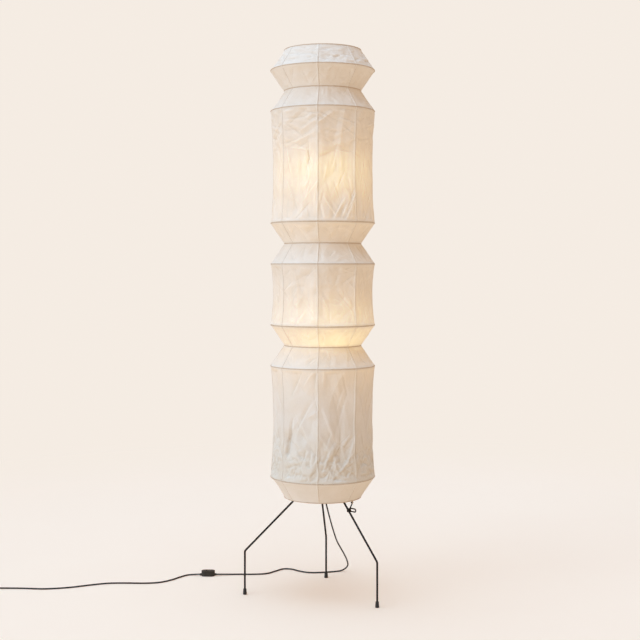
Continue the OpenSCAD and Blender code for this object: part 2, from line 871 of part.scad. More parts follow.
module switch_cover() {
  color("black")
    at_switch()
      difference() {
        union() {
          difference() {
            translate([0, 0, split_z])
              linear_extrude(switch_h - split_z)
                oval(switch_l, switch_w);
            translate([0, 0, split_z - cut])
              linear_extrude(switch_h - split_z - shell_t + cut)
                oval(switch_l - 2 * shell_t, switch_w - 2 * shell_t);
          }
          switch_posts(post_r, split_z, switch_h - shell_t / 2);
          for (side = [-1, 1])
            translate([-4, side * (window_w + ear_t) / 2 - ear_t / 2, pivot_z - ear_h / 2])
              cube([8, ear_t, switch_h - shell_t / 2 - pivot_z + ear_h / 2]);
        }
        translate([-window_l / 2, -window_w / 2, split_z])
          cube([window_l, window_w, switch_h]);
        switch_posts(post_screw_r + fit, split_z - cut, switch_h - shell_t - 3);
        translate([0, 0, pivot_z])
          rotate([90, 0, 0])
            cylinder(r = pivot_r + fit, h = window_w + 2 * ear_t + cut, center = true);
      }
}

// The rocker, pressed down on the side of the lamp, and its two pivots
module switch_rocker() {
  crown = switch_h - pivot_z;
  half = rocker_l / 2;
  color("dimgray")
    at_switch()
      translate([0, 0, pivot_z])
        rotate([90, rocker_tilt, 0]) {
          linear_extrude(rocker_w, center = true)
            polygon([
              [-half, -1], [-half + 0.4, crown + 1.2], [0, crown + 0.2], [half - 0.4, crown + 1.2],
              [half, -1], [0, -2.5]
            ]);
          cylinder(r = pivot_r, h = window_w + 2 * ear_t - 1, center = true);
        }
}

module switch_contacts() {
  color("goldenrod")
    at_switch()
      for (side = [-1, 1])
        translate([side * 6 - 2, -4, shell_t])
          cube([4, 8, 3]);
}

// ---- Lantern ----

// A wire across the top hoop with an eye for the pole's pin
module top_crossbar() {
  color("tan")
    translate([0, 0, top_z])
      difference() {
        union() {
          cylinder(r = eye_r, h = hoop_d, center = true);
          rotate([0, 90, 0])
            cylinder(d = hoop_d, h = 2 * (narrow_r - hoop_d / 2 + weld), center = true, $fn = wire_fn);
        }
        cylinder(r = pin_d / 2 + body_gap, h = 2 * hoop_d, center = true);
      }
}

module top_hoops() {
  hoop(narrow_r, top_z);
  hoop(wide_r, top_wide_z);
  hoop(narrow_r, top_neck_z);
  hoop(wide_r, upper_top_z);
}

module upper_waist_hoops() {
  hoop(wide_r, upper_low_z);
  hoop(narrow_r, upper_neck_z);
  hoop(wide_r, middle_top_z);
}

module lower_waist_hoops() {
  hoop(wide_r, middle_low_z);
  hoop(narrow_r, lower_neck_z);
  hoop(wide_r, lower_top_z);
}

module base_hoops() {
  hoop(wide_r, low_wide_z);
  hoop(narrow_r, rim_z);
}

// ---- Hook between the bottom hoop and the right leg ----

hoop_u = sqrt(pow(narrow_r, 2) - pow(leg_side, 2));
hook_pivot_z = rim_z - hoop_d / 2 - 4;
clasp_u = hoop_u - hook_in;
clasp_z = hub_z - clasp_u * tan(leg_fall(right_reach));
lug_t = 1.6;
shank_y = lug_t / 2 + body_gap + hook_d / 2;

// A small plate under the hoop, with the hole that the hook swings in
module hook_lug() {
  lug_w = hook_d + 4;
  lug_h = 4 + hook_d / 2 + 2;
  color("tan")
    in_leg_plane(right_az)
      difference() {
        translate([hoop_u - lug_w / 2, -lug_t / 2, rim_z - hoop_d / 2 - lug_h])
          cube([lug_w, lug_t, lug_h + weld]);
        translate([hoop_u, 0, hook_pivot_z])
          rotate([90, 0, 0])
            cylinder(r = hook_d / 2 + fit, h = 4 * lug_t, center = true);
      }
}

// The hook: a wire that swings from the lug, a clasp over the leg and a ring for the finger
module shade_hook() {
  clasp_l = 9;
  clasp_wall = 2.1;
  clasp_w = leg_d + 2 * (body_gap + clasp_wall);
  clasp_top = 10;
  clasp_skirt = 2;
  shank = [clasp_u - hoop_u, clasp_z + clasp_top - 2 - hook_pivot_z];
  end_r = ring_h / 2 - hook_d / 2;
  ring_u = clasp_u + clasp_l / 2 + ring_l / 2 - 0.6 * hook_d;
  ring_z = clasp_z + 7;
  color("black")
    in_leg_plane(right_az) {
      translate([hoop_u, 0, hook_pivot_z])
        rotate([90, 0, 0])
          cylinder(d = hook_d, h = 2 * shank_y, center = true);
      translate([hoop_u, -shank_y, hook_pivot_z])
        sphere(d = hook_d + 1);
      translate([hoop_u, shank_y, hook_pivot_z]) {
        sphere(d = hook_d);
        rotate([0, 180 - atan2(shank[0], -shank[1]), 0])
          cylinder(d = hook_d, h = norm(shank));
      }
      difference() {
        translate([clasp_u - clasp_l / 2, -clasp_w / 2, clasp_z - clasp_skirt])
          cube([clasp_l, clasp_w, clasp_skirt + clasp_top]);
        translate([clasp_u, 0, clasp_z])
          rotate([0, 90 + leg_fall(right_reach), 0]) {
            cylinder(r = leg_d / 2 + body_gap, h = 4 * clasp_l, center = true);
            translate([0, -leg_d / 2 - body_gap, -2 * clasp_l])
              cube([4 * clasp_l, leg_d + 2 * body_gap, 4 * clasp_l]);
          }
      }
      translate([ring_u, 0, ring_z])
        rotate([90, 0, 0])
          finger_ring(ring_l / 2 - ring_h / 2, end_r);
    }
}

// A long wire ring of two half rounds and two straight sides
module finger_ring(half, r) {
  for (side = [-1, 1]) {
    translate([side * half, 0, 0])
      rotate(side * 90 - 180)
        rotate_extrude(angle = 180)
          translate([r, 0])
            circle(d = hook_d, $fn = wire_fn);
    translate([-half, side * r, 0])
      rotate([0, 90, 0])
        cylinder(d = hook_d, h = 2 * half, $fn = wire_fn);
  }
}

// ---- Nodes ----

leg(left_az, left_reach);  // leg_left
leg(back_az, back_reach);  // leg_back
leg(right_az, right_reach);  // leg_right
foot(left_az, left_reach);  // foot_left
foot(back_az, back_reach);  // foot_back
foot(right_az, right_reach);  // foot_right
leg_hub();
hub_screws();
lower_pole();
pole_coupling();
upper_pole();
pole_cap();
bulb_bracket(lower_bulb_z);  // lower_bulb_bracket
bulb_bracket(upper_bulb_z);  // upper_bulb_bracket
bracket_screws();
holder_nipples();
lampholder_shell(lower_bulb_z);  // lower_lampholder_shell
lampholder_shell(upper_bulb_z);  // upper_lampholder_shell
lampholder_core(lower_bulb_z);  // lower_lampholder_core
lampholder_core(upper_bulb_z);  // upper_lampholder_core
lampholder_contacts();
bulb_glass(lower_bulb_z);  // lower_bulb_glass
bulb_cap(lower_bulb_z);  // lower_bulb_cap
bulb_glass(upper_bulb_z);  // upper_bulb_glass
bulb_cap(upper_bulb_z);  // upper_bulb_cap
inner_lead();
cord_gland();
mains_cord();
plug_cord();
cord_coil();
coil_tie();
plug_lead();
plug_body();
plug_pins();
switch_base();
switch_cover();
switch_rocker();
switch_screws();
switch_contacts();
top_crossbar();
top_hoops();
upper_waist_hoops();
lower_waist_hoops();
base_hoops();
narrowing_band(top_wide_z);  // top_rim_paper
spreading_band(top_neck_z);  // top_under_paper
narrowing_band(upper_top_z);  // top_shoulder_paper
upright_band(upper_low_z, upper_band_h);  // upper_band_paper
spreading_band(upper_neck_z);  // upper_waist_under_paper
narrowing_band(middle_top_z);  // upper_waist_shoulder_paper
upright_band(middle_low_z, middle_band_h);  // middle_band_paper
spreading_band(lower_neck_z);  // lower_waist_under_paper
narrowing_band(lower_top_z);  // lower_waist_shoulder_paper
upright_band(low_wide_z, lower_band_h);  // lower_band_paper
spreading_band(rim_z);  // base_under_paper
hook_lug();
shade_hook();
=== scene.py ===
"""Dresses the paper lantern floor lamp: its paper, hoops, stand, bulbs, lead and studio.

Everything is in metres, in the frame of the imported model: the origin is on the floor under the
pole, Z is up and the front seam looks nearly along -Y.
"""
import math
import random

import bpy
import numpy as np
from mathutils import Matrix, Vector, noise


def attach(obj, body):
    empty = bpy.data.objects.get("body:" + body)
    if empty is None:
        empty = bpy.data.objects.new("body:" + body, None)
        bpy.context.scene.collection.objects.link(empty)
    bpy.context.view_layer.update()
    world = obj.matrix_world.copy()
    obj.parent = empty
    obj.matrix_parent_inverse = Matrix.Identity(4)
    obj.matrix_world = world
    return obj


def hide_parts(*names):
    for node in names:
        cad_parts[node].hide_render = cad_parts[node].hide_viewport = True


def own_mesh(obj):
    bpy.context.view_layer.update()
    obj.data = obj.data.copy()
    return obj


bl_info = {
    "name": "Paper lantern floor lamp",
    "version": (1, 0, 0),
    "blender": (4, 5, 0),
    "location": "View3D > Sidebar > Lantern",
    "description": "Builds the paper, seams, lead and studio of a tall paper lantern lamp",
    "category": "Object",
}

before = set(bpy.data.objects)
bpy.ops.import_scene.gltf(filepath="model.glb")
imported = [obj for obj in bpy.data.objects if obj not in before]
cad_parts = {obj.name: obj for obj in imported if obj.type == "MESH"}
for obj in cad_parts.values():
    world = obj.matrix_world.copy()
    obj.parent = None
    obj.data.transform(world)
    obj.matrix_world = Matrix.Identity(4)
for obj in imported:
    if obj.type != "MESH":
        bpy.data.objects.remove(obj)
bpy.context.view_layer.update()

PANELS = 8
SEAM_AZ = math.radians(-95)
HALF_PANEL = math.pi / PANELS
PAPER_WALL = 0.0008
HOOP_LIP = 0.0009          # from a hoop's wire to the glued edge of the paper
FREE_LIP = 0.00195         # the same where the hoop below moves on its own
COLUMNS = 40               # faces across a panel
TALL_ROW, SLOPE_ROW = 0.0036, 0.0032  # height of a row of faces
LAP_COLUMNS = 1.5          # width of a glued lap, in faces
# thickness of a glued lap, and radius of the thin dark tube painted as the shadow along its edge
LAP_WALL, SEAM_SHADOW_R = 0.0004, 0.00045
HOLD_FROM, HOLD_OVER = 0.002, 0.014   # where a hoop lets the paper go, and over how much height
DEEPEST, HIGHEST = -0.009, 0.004      # limits of a crease
SHARP = 0.0010             # a bend that counts as a full fold, where the crease's painted shade or highlight is full
LINES = 3.2                # how narrow the lines between facets are
RIDGE_FIELD, OWN_FIELD = Vector((19.1, 4.7, 2.3)), 7.3    # where other parts of the noise are read
SEAM_FACETS = 0.35         # share of the facets that run on over a seam
SPREAD = 0.92              # share of a panel's width that scattered creases keep to
SOFT_EDGE = 0.12           # share of the height over which facets and waves fade

FLOOR_ALBEDO = (1.00, 0.93, 0.80)
FLOOR_LIGHT = (0.805, 0.859, 0.941)    # what the lights lay on the open floor

# name of the band: body, low radius, low height, high radius, high height
BANDS = {
    "base_under_paper": ("shade_base", "narrow", 0.346, "wide", 0.4184),
    "lower_band_paper": ("lower_waist", "wide", 0.4184, "wide", 0.8104),
    "lower_waist_shoulder_paper": ("lower_waist", "wide", 0.8104, "narrow", 0.8828),
    "lower_waist_under_paper": ("lower_waist", "narrow", 0.8828, "wide", 0.9552),
    "middle_band_paper": ("upper_waist", "wide", 0.9552, "wide", 1.1712),
    "upper_waist_shoulder_paper": ("upper_waist", "wide", 1.1712, "narrow", 1.2436),
    "upper_waist_under_paper": ("upper_waist", "narrow", 1.2436, "wide", 1.316),
    "upper_band_paper": ("shade_top", "wide", 1.316, "wide", 1.7125),
    "top_shoulder_paper": ("shade_top", "wide", 1.7125, "narrow", 1.7849),
    "top_under_paper": ("shade_top", "narrow", 1.7849, "wide", 1.8573),
    "top_rim_paper": ("shade_top", "wide", 1.8573, "narrow", 1.9297),
}
# tall band: the joint that folds it up, and how far that joint goes
FOLDS = {
    "upper_band_paper": ("upper_fold", 0.370),
    "middle_band_paper": ("middle_fold", 0.190),
    "lower_band_paper": ("lower_fold", 0.365),
}
# where the painted light of the two bulbs seems to come from, and how much of it is held back above
# each
GLOWS = (((0.014, -0.044, 0.95), 0.0), ((0.005, -0.044, 1.489), 0.6))
GLOW_REACH, GLOW_FALL = 0.118, 3.1    # where the bright patch is full, and how it fades
PATCH_SHARE, FAINT_SHARE = 0.86, 0.22
FAINT_FROM, FAINT_TO = 0.02, 0.31     # how far up and down the faint glow goes
FAINT_COLOUR = (1.0, 0.60, 0.19)
INNER_LIGHT = 0.07         # what the other light inside adds from the lower waist upwards
INNER_FROM = (0.72, 0.92)  # heights over which that light begins
BULBS = ((0.0, -0.044, 0.9298), (0.0, -0.044, 1.5))

# shares of the paper's colour: in its clouds, as painted shade in the creases' valleys, under a
# bulb's glow, and as painted shade over the lower part of the lowest tall band
DARK_CLOUD, LIGHT_CLOUD = (0.955, 0.945, 0.925), (1.03, 1.035, 1.045)
VALLEY_SHADE, UNDER_GLOW, LOWER_SHADE = (0.80, 0.76, 0.70), (0.8, 0.8, 0.8), (0.905, 0.90, 0.87)
LOWER_SHADE_FROM, LOWER_SHADE_TO = (0.416, 0.424), (0.46, 0.66)    # heights over which the painted shade low on the lowest tall band begins and ends
LIP_COLOUR, LIP_REACH = (0.9, 0.86, 0.80), (0.004, 0.008)
CREASE_SHADING_SEEN = (0.1, 1.0)     # from where a crease's painted shade or highlight shows to where it shows in full
LAP_TONE, LAP_GLOW = 1.03, 0.82       # doubled paper against single paper

CAMERA_AT, CAMERA_SHIFT, SENSOR_MM = (-0.0096, -4.27, 1.157), -52 / 640, 36.0
FLOOR_R, FLOOR_Z = 60.0, -0.0002
FADE_CENTRE, FADE_FROM, FADE_TO = (0.3, 0.2, 0.0), 1.5, 3.5
LIGHT_SIDE = -148          # where both lights come from, in degrees from +X
# light: share of the key light's strength, colour, spread and height in degrees
LIGHTS = {"key": (1.0, (0.55, 0.79, 1.03), 50, 12), "top": (1.25, (0.40, 0.68, 0.98), 70, 80)}
SKY_LOW, SKY_HIGH = (0.50, 0.352, 0.245), (0.53, 0.41, 0.32)
FLOOR_TINT, FLOOR_GLOW = (0.32, 0.27, 0.24), (0.56, 0.447, 0.32)  # as the lamp sees the floor

LAY = 2.8                  # height of the lead's middle on the floor, in mm
SWITCH_X, SWITCH_Y, SWITCH_HALF, NOSE_Z = -430, 242, 31, 5.5
CORD_MM = 5.4
CURVE_STEPS = 8            # pieces of the lead between two points of its route
COIL_X, COIL_Y, COIL_R, COIL_LOW, COIL_STEP = -1270, 96, 36, 3.6, 5.9
COIL_PITCH, COIL_IN, COIL_OUT, COIL_POINTS = 6.0, 2.25, 2.0, 24
PLUG_X, TAIL_Y, PLUG_Y, PLUG_Z = -1304.5, 101.4, 137.4, 7.2

MAINS_ROUTE = [
    (0, 0, 392), (0, 0, 374), (5, 18, 345), (14, 53, 302), (25, 98, 251), (39, 155, 191),
    (54, 206, 138), (69, 237, 104), (84, 264, 72), (94, 285, 44), (96, 299, 25), (86, 306, 11),
    (69, 304, 3.4), (40, 292, LAY), (-8, 280, LAY), (-54, 280, LAY), (-90, 303, LAY),
    (-119, 330, LAY), (-149, 334, LAY), (-178, 302, LAY), (-211, 264, LAY), (-262, 253, LAY),
    (-320, 253, LAY), (-362, 248, 3.9), (SWITCH_X + SWITCH_HALF + 8, SWITCH_Y, NOSE_Z),
    (SWITCH_X + SWITCH_HALF, SWITCH_Y, NOSE_Z),
]
PLUG_ROUTE = [
    (SWITCH_X - SWITCH_HALF, SWITCH_Y, NOSE_Z), (SWITCH_X - SWITCH_HALF - 8, SWITCH_Y, NOSE_Z),
    (-486, 246, 3.7), (-507, 243, LAY), (-530, 216, LAY), (-560, 171, LAY), (-600, 136, LAY),
    (-652, 125, LAY), (-718, 127, LAY), (-784, 124, LAY), (-850, 98, LAY), (-920, 65, LAY),
    (-1000, 48, LAY), (-1080, 55, LAY), (-1155, 58, LAY), (-1218, COIL_Y - COIL_R, 3.1),
    (COIL_X + 3 * CORD_MM, COIL_Y - COIL_R, COIL_LOW),
]
LEAD_ROUTE = [
    (PLUG_X, TAIL_Y, COIL_LOW + COIL_STEP), (PLUG_X, TAIL_Y + 7, COIL_LOW + COIL_STEP),
    (PLUG_X, TAIL_Y + 18, 8.4), (PLUG_X, PLUG_Y - 6, PLUG_Z), (PLUG_X, PLUG_Y, PLUG_Z),
]


# ---- Properties ----

class LanternPaper(bpy.types.PropertyGroup):
    wide_radius: bpy.props.FloatProperty(
        name="Wide hoop radius", description="Middle of the wire of the wide hoops",
        default=0.1845, unit="LENGTH")
    narrow_radius: bpy.props.FloatProperty(
        name="Narrow hoop radius", description="Middle of the wire of the narrow hoops",
        default=0.136, unit="LENGTH")
    waist: bpy.props.FloatProperty(
        name="Seam draw", description="How far the seams of a tall band are drawn in",
        default=0.0085, unit="LENGTH")
    tall_flatness: bpy.props.FloatProperty(
        name="Tall panel flatness", description="0 for round, 1 for flat", default=0.9)
    slope_flatness: bpy.props.FloatProperty(
        name="Sloping panel flatness", description="0 for round, 1 for flat", default=0.4)
    colour: bpy.props.FloatVectorProperty(
        name="Paper", description="Colour of the stiff paper", subtype="COLOR",
        default=(0.87, 0.815, 0.745))
    glow_colour: bpy.props.FloatVectorProperty(
        name="Glow", description="Colour of the bulbs' light through the paper",
        subtype="COLOR", default=(1.0, 0.765, 0.345))
    glow: bpy.props.FloatProperty(
        name="Glow strength", description="How strongly a bulb lights the paper nearest to it",
        default=0.42)


class LanternLead(bpy.types.PropertyGroup):
    diameter: bpy.props.FloatProperty(
        name="Lead diameter", description="Outer diameter of the sheath",
        default=0.0054, unit="LENGTH")
    colour: bpy.props.FloatVectorProperty(
        name="Sheath", description="Colour of the sheath", subtype="COLOR",
        default=(0.006, 0.0055, 0.005))


class LanternStage(bpy.types.PropertyGroup):
    backdrop: bpy.props.FloatVectorProperty(
        name="Backdrop", description="Colour of the floor and of what lies behind it",
        subtype="COLOR", default=(0.913, 0.840, 0.769))
    lens: bpy.props.FloatProperty(
        name="Focal length", description="Focal length in millimetres", default=67.5)
    sun: bpy.props.FloatProperty(
        name="Key light", description="Strength of the soft light from the left", default=1.5)
    sky: bpy.props.FloatProperty(
        name="Room light", description="Strength of the light from all round", default=1.0)


# ---- Helpers for meshes ----

def new_object(name, mesh):
    made = bpy.data.objects.new(name, mesh)
    bpy.context.scene.collection.objects.link(made)
    return made


def evaluated_mesh(piece):
    """The piece's mesh with its modifiers in it."""
    bpy.context.view_layer.update()
    graph = bpy.context.evaluated_depsgraph_get()
    return bpy.data.meshes.new_from_object(piece.evaluated_get(graph))


def run_tree(name, tree, inputs, start=None):
    """Evaluates a geometry tree with the named inputs and returns a plain mesh."""
    piece = new_object(name, start or bpy.data.meshes.new(name))
    modifier = piece.modifiers.new("shape", "NODES")
    modifier.node_group = tree
    sockets = {s.name: s.identifier for s in tree.interface.items_tree if s.in_out == "INPUT"}
    for key, value in inputs.items():
        modifier[sockets[key]] = value
    mesh = evaluated_mesh(piece)
    mesh.name = name
    piece.modifiers.clear()
    bpy.data.objects.remove(piece)
    return mesh


class Tree:
    """A small hand for building node trees."""

    def __init__(self, tree):
        self.tree = tree

    def add(self, kind, inputs=None, **settings):
        made = self.tree.nodes.new(kind)
        for key, value in settings.items():
            setattr(made, key, value)
        for key, value in (inputs or {}).items():
            if isinstance(value, bpy.types.NodeSocket):
                self.tree.links.new(value, made.inputs[key])
            else:
                made.inputs[key].default_value = value
        return made

    def out(self, kind, inputs=None, **settings):
        return self.add(kind, inputs, **settings).outputs[0]

    def math(self, operation, a, b=0.0, c=None, clamp=False):
        inputs = {0: a, 1: b}
        if c is not None:
            inputs[2] = c
        return self.out("ShaderNodeMath", inputs, operation=operation, use_clamp=clamp)

    def left(self, a):
        """What is left of 1 without a."""
        return self.math("SUBTRACT", 1.0, a)

    def plus(self, a, b):
        return self.math("ADD", a, b)

    def times(self, a, b, clamp=False):
        return self.math("MULTIPLY", a, b, clamp=clamp)

    def vector(self, operation, a, b=(0, 0, 0)):
        made = self.add("ShaderNodeVectorMath", {0: a, 1: b}, operation=operation)
        return made.outputs["Value" if operation in ("DISTANCE", "DOT_PRODUCT") else "Vector"]

    def height(self, place):
        return self.add("ShaderNodeSeparateXYZ", {0: place}).outputs[2]

    def attribute(self, name):
        return self.add("ShaderNodeAttribute", attribute_name=name).outputs["Fac"]

    def step(self, value, low, high):
        """0 below low, 1 above high, smooth between."""
        made = self.add("ShaderNodeMapRange", {"Value": value, "From Min": low, "From Max": high},
                        interpolation_type="SMOOTHSTEP")
        return made.outputs["Result"]

    def mix(self, share, a, b, blend="MIX"):
        made = self.add("ShaderNodeMix", data_type="RGBA", blend_type=blend)
        for index, value in ((0, share), (6, a), (7, b)):
            if isinstance(value, bpy.types.NodeSocket):
                self.tree.links.new(value, made.inputs[index])
            elif index:
                made.inputs[index].default_value = (*value, 1.0)
            else:
                made.inputs[index].default_value = value
        return made.outputs[2]

    def noise(self, where, scale, detail=3.0, roughness=0.5, distortion=0.0):
        return self.out("ShaderNodeTexNoise", {
            "Vector": where, "Scale": scale, "Detail": detail, "Roughness": roughness,
            "Distortion": distortion})


# ---- Materials ----

def empty_tree(owner):
    owner.use_nodes = True
    owner.node_tree.nodes.clear()
    return Tree(owner.node_tree)


def new_material(name, roughness=0.5, metallic=0.0):
    made = bpy.data.materials.new(name)
    tree = empty_tree(made)
    shader = tree.add("ShaderNodeBsdfPrincipled", {"Roughness": roughness, "Metallic": metallic})
    tree.add("ShaderNodeOutputMaterial", {"Surface": shader.outputs[0]})
    return made, tree, shader


def feed(tree, shader, **sockets):
    for key, value in sockets.items():
        tree.tree.links.new(value, shader.inputs[key.replace("_", " ").title()])


def bump(tree, shader, height, depth, strength=1.0, after=None):
    inputs = {"Height": height, "Distance": depth, "Strength": strength}
    if after is not None:
        inputs["Normal"] = after
    made = tree.add("ShaderNodeBump", inputs)
    tree.tree.links.new(made.outputs[0], shader.inputs["Normal"])
    return made.outputs[0]


def object_place(tree, scale=(1, 1, 1)):
    place = tree.add("ShaderNodeTexCoord").outputs["Object"]
    if scale == (1, 1, 1):
        return place
    return tree.out("ShaderNodeMapping", {"Vector": place, "Scale": scale})


def bulb_glow(tree, place):
    """Light of both bulbs on the paper: a bright patch near each and a faint glow up and down."""
    facing = tree.add("ShaderNodeNewGeometry").outputs["True Normal"]
    height = tree.height(place)
    total = None
    for centre, held in GLOWS:
        ray = tree.vector("NORMALIZE", tree.vector("SUBTRACT", place, centre))
        slant = tree.math("ABSOLUTE", tree.vector("DOT_PRODUCT", ray, facing))
        near = tree.math("DIVIDE", GLOW_REACH, tree.vector("DISTANCE", place, centre))
        patch = tree.times(tree.math("POWER", near, GLOW_FALL), slant)
        up = tree.height(ray)
        top = tree.left(tree.times(tree.step(up, 0.25, 0.9), held))
        away = tree.math("ABSOLUTE", tree.math("SUBTRACT", height, centre[2] - 0.03))
        faint = tree.left(tree.step(away, FAINT_FROM, FAINT_TO))
        patch = tree.times(tree.times(patch, top), PATCH_SHARE)
        part = tree.plus(patch, tree.times(faint, FAINT_SHARE))
        total = part if total is None else tree.plus(total, part)
    return total


def shares(colour, factors):
    return tuple(min(c * k, 1.0) for c, k in zip(colour, factors))


def paper_tone(tree, place, colour, fibre, level, lip, painted_crease_shading):
    """Clouds, fibres, pale lips, painted crease highlight and shade, painted shade low on the
    lowest band.
    """
    tone = tree.plus(tree.times(tree.noise(place, 16, 3, 0.55), 0.55), tree.times(fibre, 0.45))
    light = shares(colour, LIGHT_CLOUD)
    base = tree.mix(tree.step(tone, 0.3, 0.72), shares(colour, DARK_CLOUD), light)
    base = tree.mix(tree.times(level, 0.75, clamp=True), base, shares(colour, UNDER_GLOW))
    base = tree.mix(tree.times(lip, 0.3), base, LIP_COLOUR)
    # painted highlight on the creases' ridges, and painted shade in their valleys
    base = tree.mix(tree.step(painted_crease_shading, *CREASE_SHADING_SEEN), base, light)
    valley = tree.times(tree.step(tree.times(painted_crease_shading, -1.0), *CREASE_SHADING_SEEN), 0.4)
    base = tree.mix(valley, base, shares(colour, VALLEY_SHADE))
    # painted shade: the lower part of the lowest tall band is darker
    height = tree.height(place)
    lower_shade = tree.times(tree.step(height, *LOWER_SHADE_FROM), tree.left(tree.step(height, *LOWER_SHADE_TO)))
    return tree.mix(lower_shade, base, LOWER_SHADE, "MULTIPLY")


def paper_light(tree, place, level, lip, painted_crease_shading, glow_colour, glow):
    """The light through the paper, uneven with its flecks, its creases and long streaks."""
    fleck = tree.noise(place, 95, 4, 0.6, 1.2)
    streak = tree.noise(object_place(tree, (1, 1, 0.22)), 46, 3, 0.6, 1.6)
    thin = tree.plus(tree.times(fleck, 0.34), 0.83)
    # painted light and shade: more glow through the creases' ridges, less through their valleys
    thin = tree.plus(thin, tree.times(painted_crease_shading, 0.25))
    thin = tree.plus(thin, tree.math("MULTIPLY_ADD", streak, 0.9, -0.45))
    inside = tree.times(tree.step(tree.height(place), *INNER_FROM), INNER_LIGHT)
    through = tree.times(tree.times(tree.plus(level, inside), thin), glow)
    through = tree.times(through, tree.left(tree.times(lip, 0.35)), clamp=True)
    warm = tree.mix(tree.step(level, 0.1, 1.0), FAINT_COLOUR, glow_colour)
    grey = tree.out("ShaderNodeCombineXYZ", {0: through, 1: through, 2: through})
    return tree.mix(1.0, warm, grey, "MULTIPLY")


def paper_relief(tree, shader, fibre):
    """Fibres, fine wrinkles, and the sharp edges of the creases that the mesh rounds off."""
    wrinkle = tree.out("ShaderNodeTexNoise", {
        "Vector": object_place(tree, (1, 1, 0.7)), "Scale": 44.0, "Detail": 3.0, "Roughness": 0.55,
        "Distortion": 0.7}, noise_type="RIDGED_MULTIFRACTAL")
    normal = bump(tree, shader, fibre, 0.00025, 0.6)
    normal = bump(tree, shader, wrinkle, 0.0013, 0.7, after=normal)
    bump(tree, shader, tree.attribute("dent"), 0.75, after=normal)


def paper_material(name, colour, glow_colour, glow):
    made, tree, shader = new_material(name, roughness=0.82)
    place = object_place(tree)
    fibre = tree.noise(object_place(tree, (1, 1, 0.35)), 420, 5, 0.65, 0.6)
    level = bulb_glow(tree, place)
    lip = tree.left(tree.step(tree.attribute("rim"), *LIP_REACH))
    painted_crease_shading = tree.attribute("painted_crease_shading")
    feed(tree, shader, base_color=paper_tone(tree, place, colour, fibre, level, lip, painted_crease_shading),
         emission_color=paper_light(tree, place, level, lip, painted_crease_shading, glow_colour, glow))
    shader.inputs["Emission Strength"].default_value = 1.0
    paper_relief(tree, shader, fibre)
    return made


# Painted shadow: the colour of the thin dark tube along the edge of each glued lap
def seam_shadow_material():
    made, tree, shader = new_material("painted_seam_shadow", roughness=0.9)
    tone = tree.noise(object_place(tree), 300, 2)
    feed(tree, shader, base_color=tree.mix(tone, (0.50, 0.40, 0.30), (0.68, 0.57, 0.46)))
    return made


def wire_material():
    """Paper-wrapped wire of the hoops."""
    made, tree, shader = new_material("wrapped_wire", roughness=0.75)
    place = object_place(tree)
    tone = tree.noise(place, 140, 4, 0.6)
    feed(tree, shader, base_color=tree.mix(tone, (0.56, 0.44, 0.33), (0.76, 0.63, 0.50)))
    bump(tree, shader, tree.noise(place, 700, 2), 0.0002, 0.6)
    return made


def painted_steel():
    made, tree, shader = new_material("black_painted_steel")
    place = object_place(tree)
    tone = tree.noise(place, 30, 4, 0.6)
    feed(tree, shader, base_color=tree.mix(tone, (0.005, 0.0035, 0.003), (0.014, 0.009, 0.006)),
         roughness=tree.plus(tree.times(tree.noise(place, 160, 3), 0.2), 0.42))
    bump(tree, shader, tree.noise(place, 900, 2), 0.0001, 0.35)
    shader.inputs["Specular IOR Level"].default_value = 0.3
    return made


def bare_metal(name, dark, light, roughness):
    made, tree, shader = new_material(name, metallic=1.0)
    place = object_place(tree)
    grain = tree.noise(place, 260, 4, 0.6)
    feed(tree, shader, base_color=tree.mix(grain, dark, light),
         roughness=tree.plus(tree.times(grain, 0.2), roughness))
    bump(tree, shader, grain, 0.00005, 0.4)
    return made


def threaded_metal(name, dark, light):
    """A rolled screw thread that runs round an upright cap."""
    made, tree, shader = new_material(name, roughness=0.28, metallic=1.0)
    place = object_place(tree)
    wave = tree.add("ShaderNodeTexWave", {"Vector": place, "Scale": 44.0},
                    wave_type="BANDS", bands_direction="Z", wave_profile="SIN")
    feed(tree, shader, base_color=tree.mix(tree.noise(place, 180, 3), dark, light))
    bump(tree, shader, wave.outputs[1], 0.0006, 0.8)
    return made


def moulded_plastic(name, dark, light, roughness=0.42):
    made, tree, shader = new_material(name)
    place = object_place(tree)
    tone = tree.noise(place, 60, 3)
    feed(tree, shader, base_color=tree.mix(tone, dark, light),
         roughness=tree.plus(tree.times(tone, 0.12), roughness))
    bump(tree, shader, tree.noise(place, 1600, 2), 0.00008, 0.5)
    return made


def sheath_material(colour):
    made, tree, shader = new_material("lead_sheath")
    place = object_place(tree)
    light = tuple(c * 2.2 for c in colour)
    feed(tree, shader, base_color=tree.mix(tree.noise(place, 45, 3), colour, light),
         roughness=tree.plus(tree.times(tree.noise(place, 120, 3), 0.2), 0.38))
    bump(tree, shader, tree.noise(place, 800, 2), 0.0001, 0.4)
    return made


def bulb_glass():
    """Frosted glass that glows most round its middle."""
    made, tree, shader = new_material("frosted_glass", roughness=0.35)
    place = object_place(tree)
    frost = tree.noise(place, 500, 3)
    level = None
    for centre in BULBS:
        away = tree.vector("DISTANCE", place, centre)
        part = tree.left(tree.step(away, 0.028, 0.058))
        level = part if level is None else tree.math("MAXIMUM", level, part)
    feed(tree, shader, base_color=tree.mix(frost, (0.50, 0.47, 0.42), (0.58, 0.55, 0.50)),
         emission_color=tree.mix(level, (0.34, 0.20, 0.08), (0.58, 0.47, 0.27)))
    shader.inputs["Emission Strength"].default_value = 1.0
    bump(tree, shader, frost, 0.00005, 0.3)
    return made


def dress(material, *nodes):
    for name in nodes:
        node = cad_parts[name]
        if not node.material_slots:
            node.data.materials.append(material)
        for place in node.material_slots:
            place.material = material


# ---- Paper ----

def add_input(tree, name, kind="NodeSocketFloat"):
    tree.interface.new_socket(name=name, in_out="INPUT", socket_type=kind)


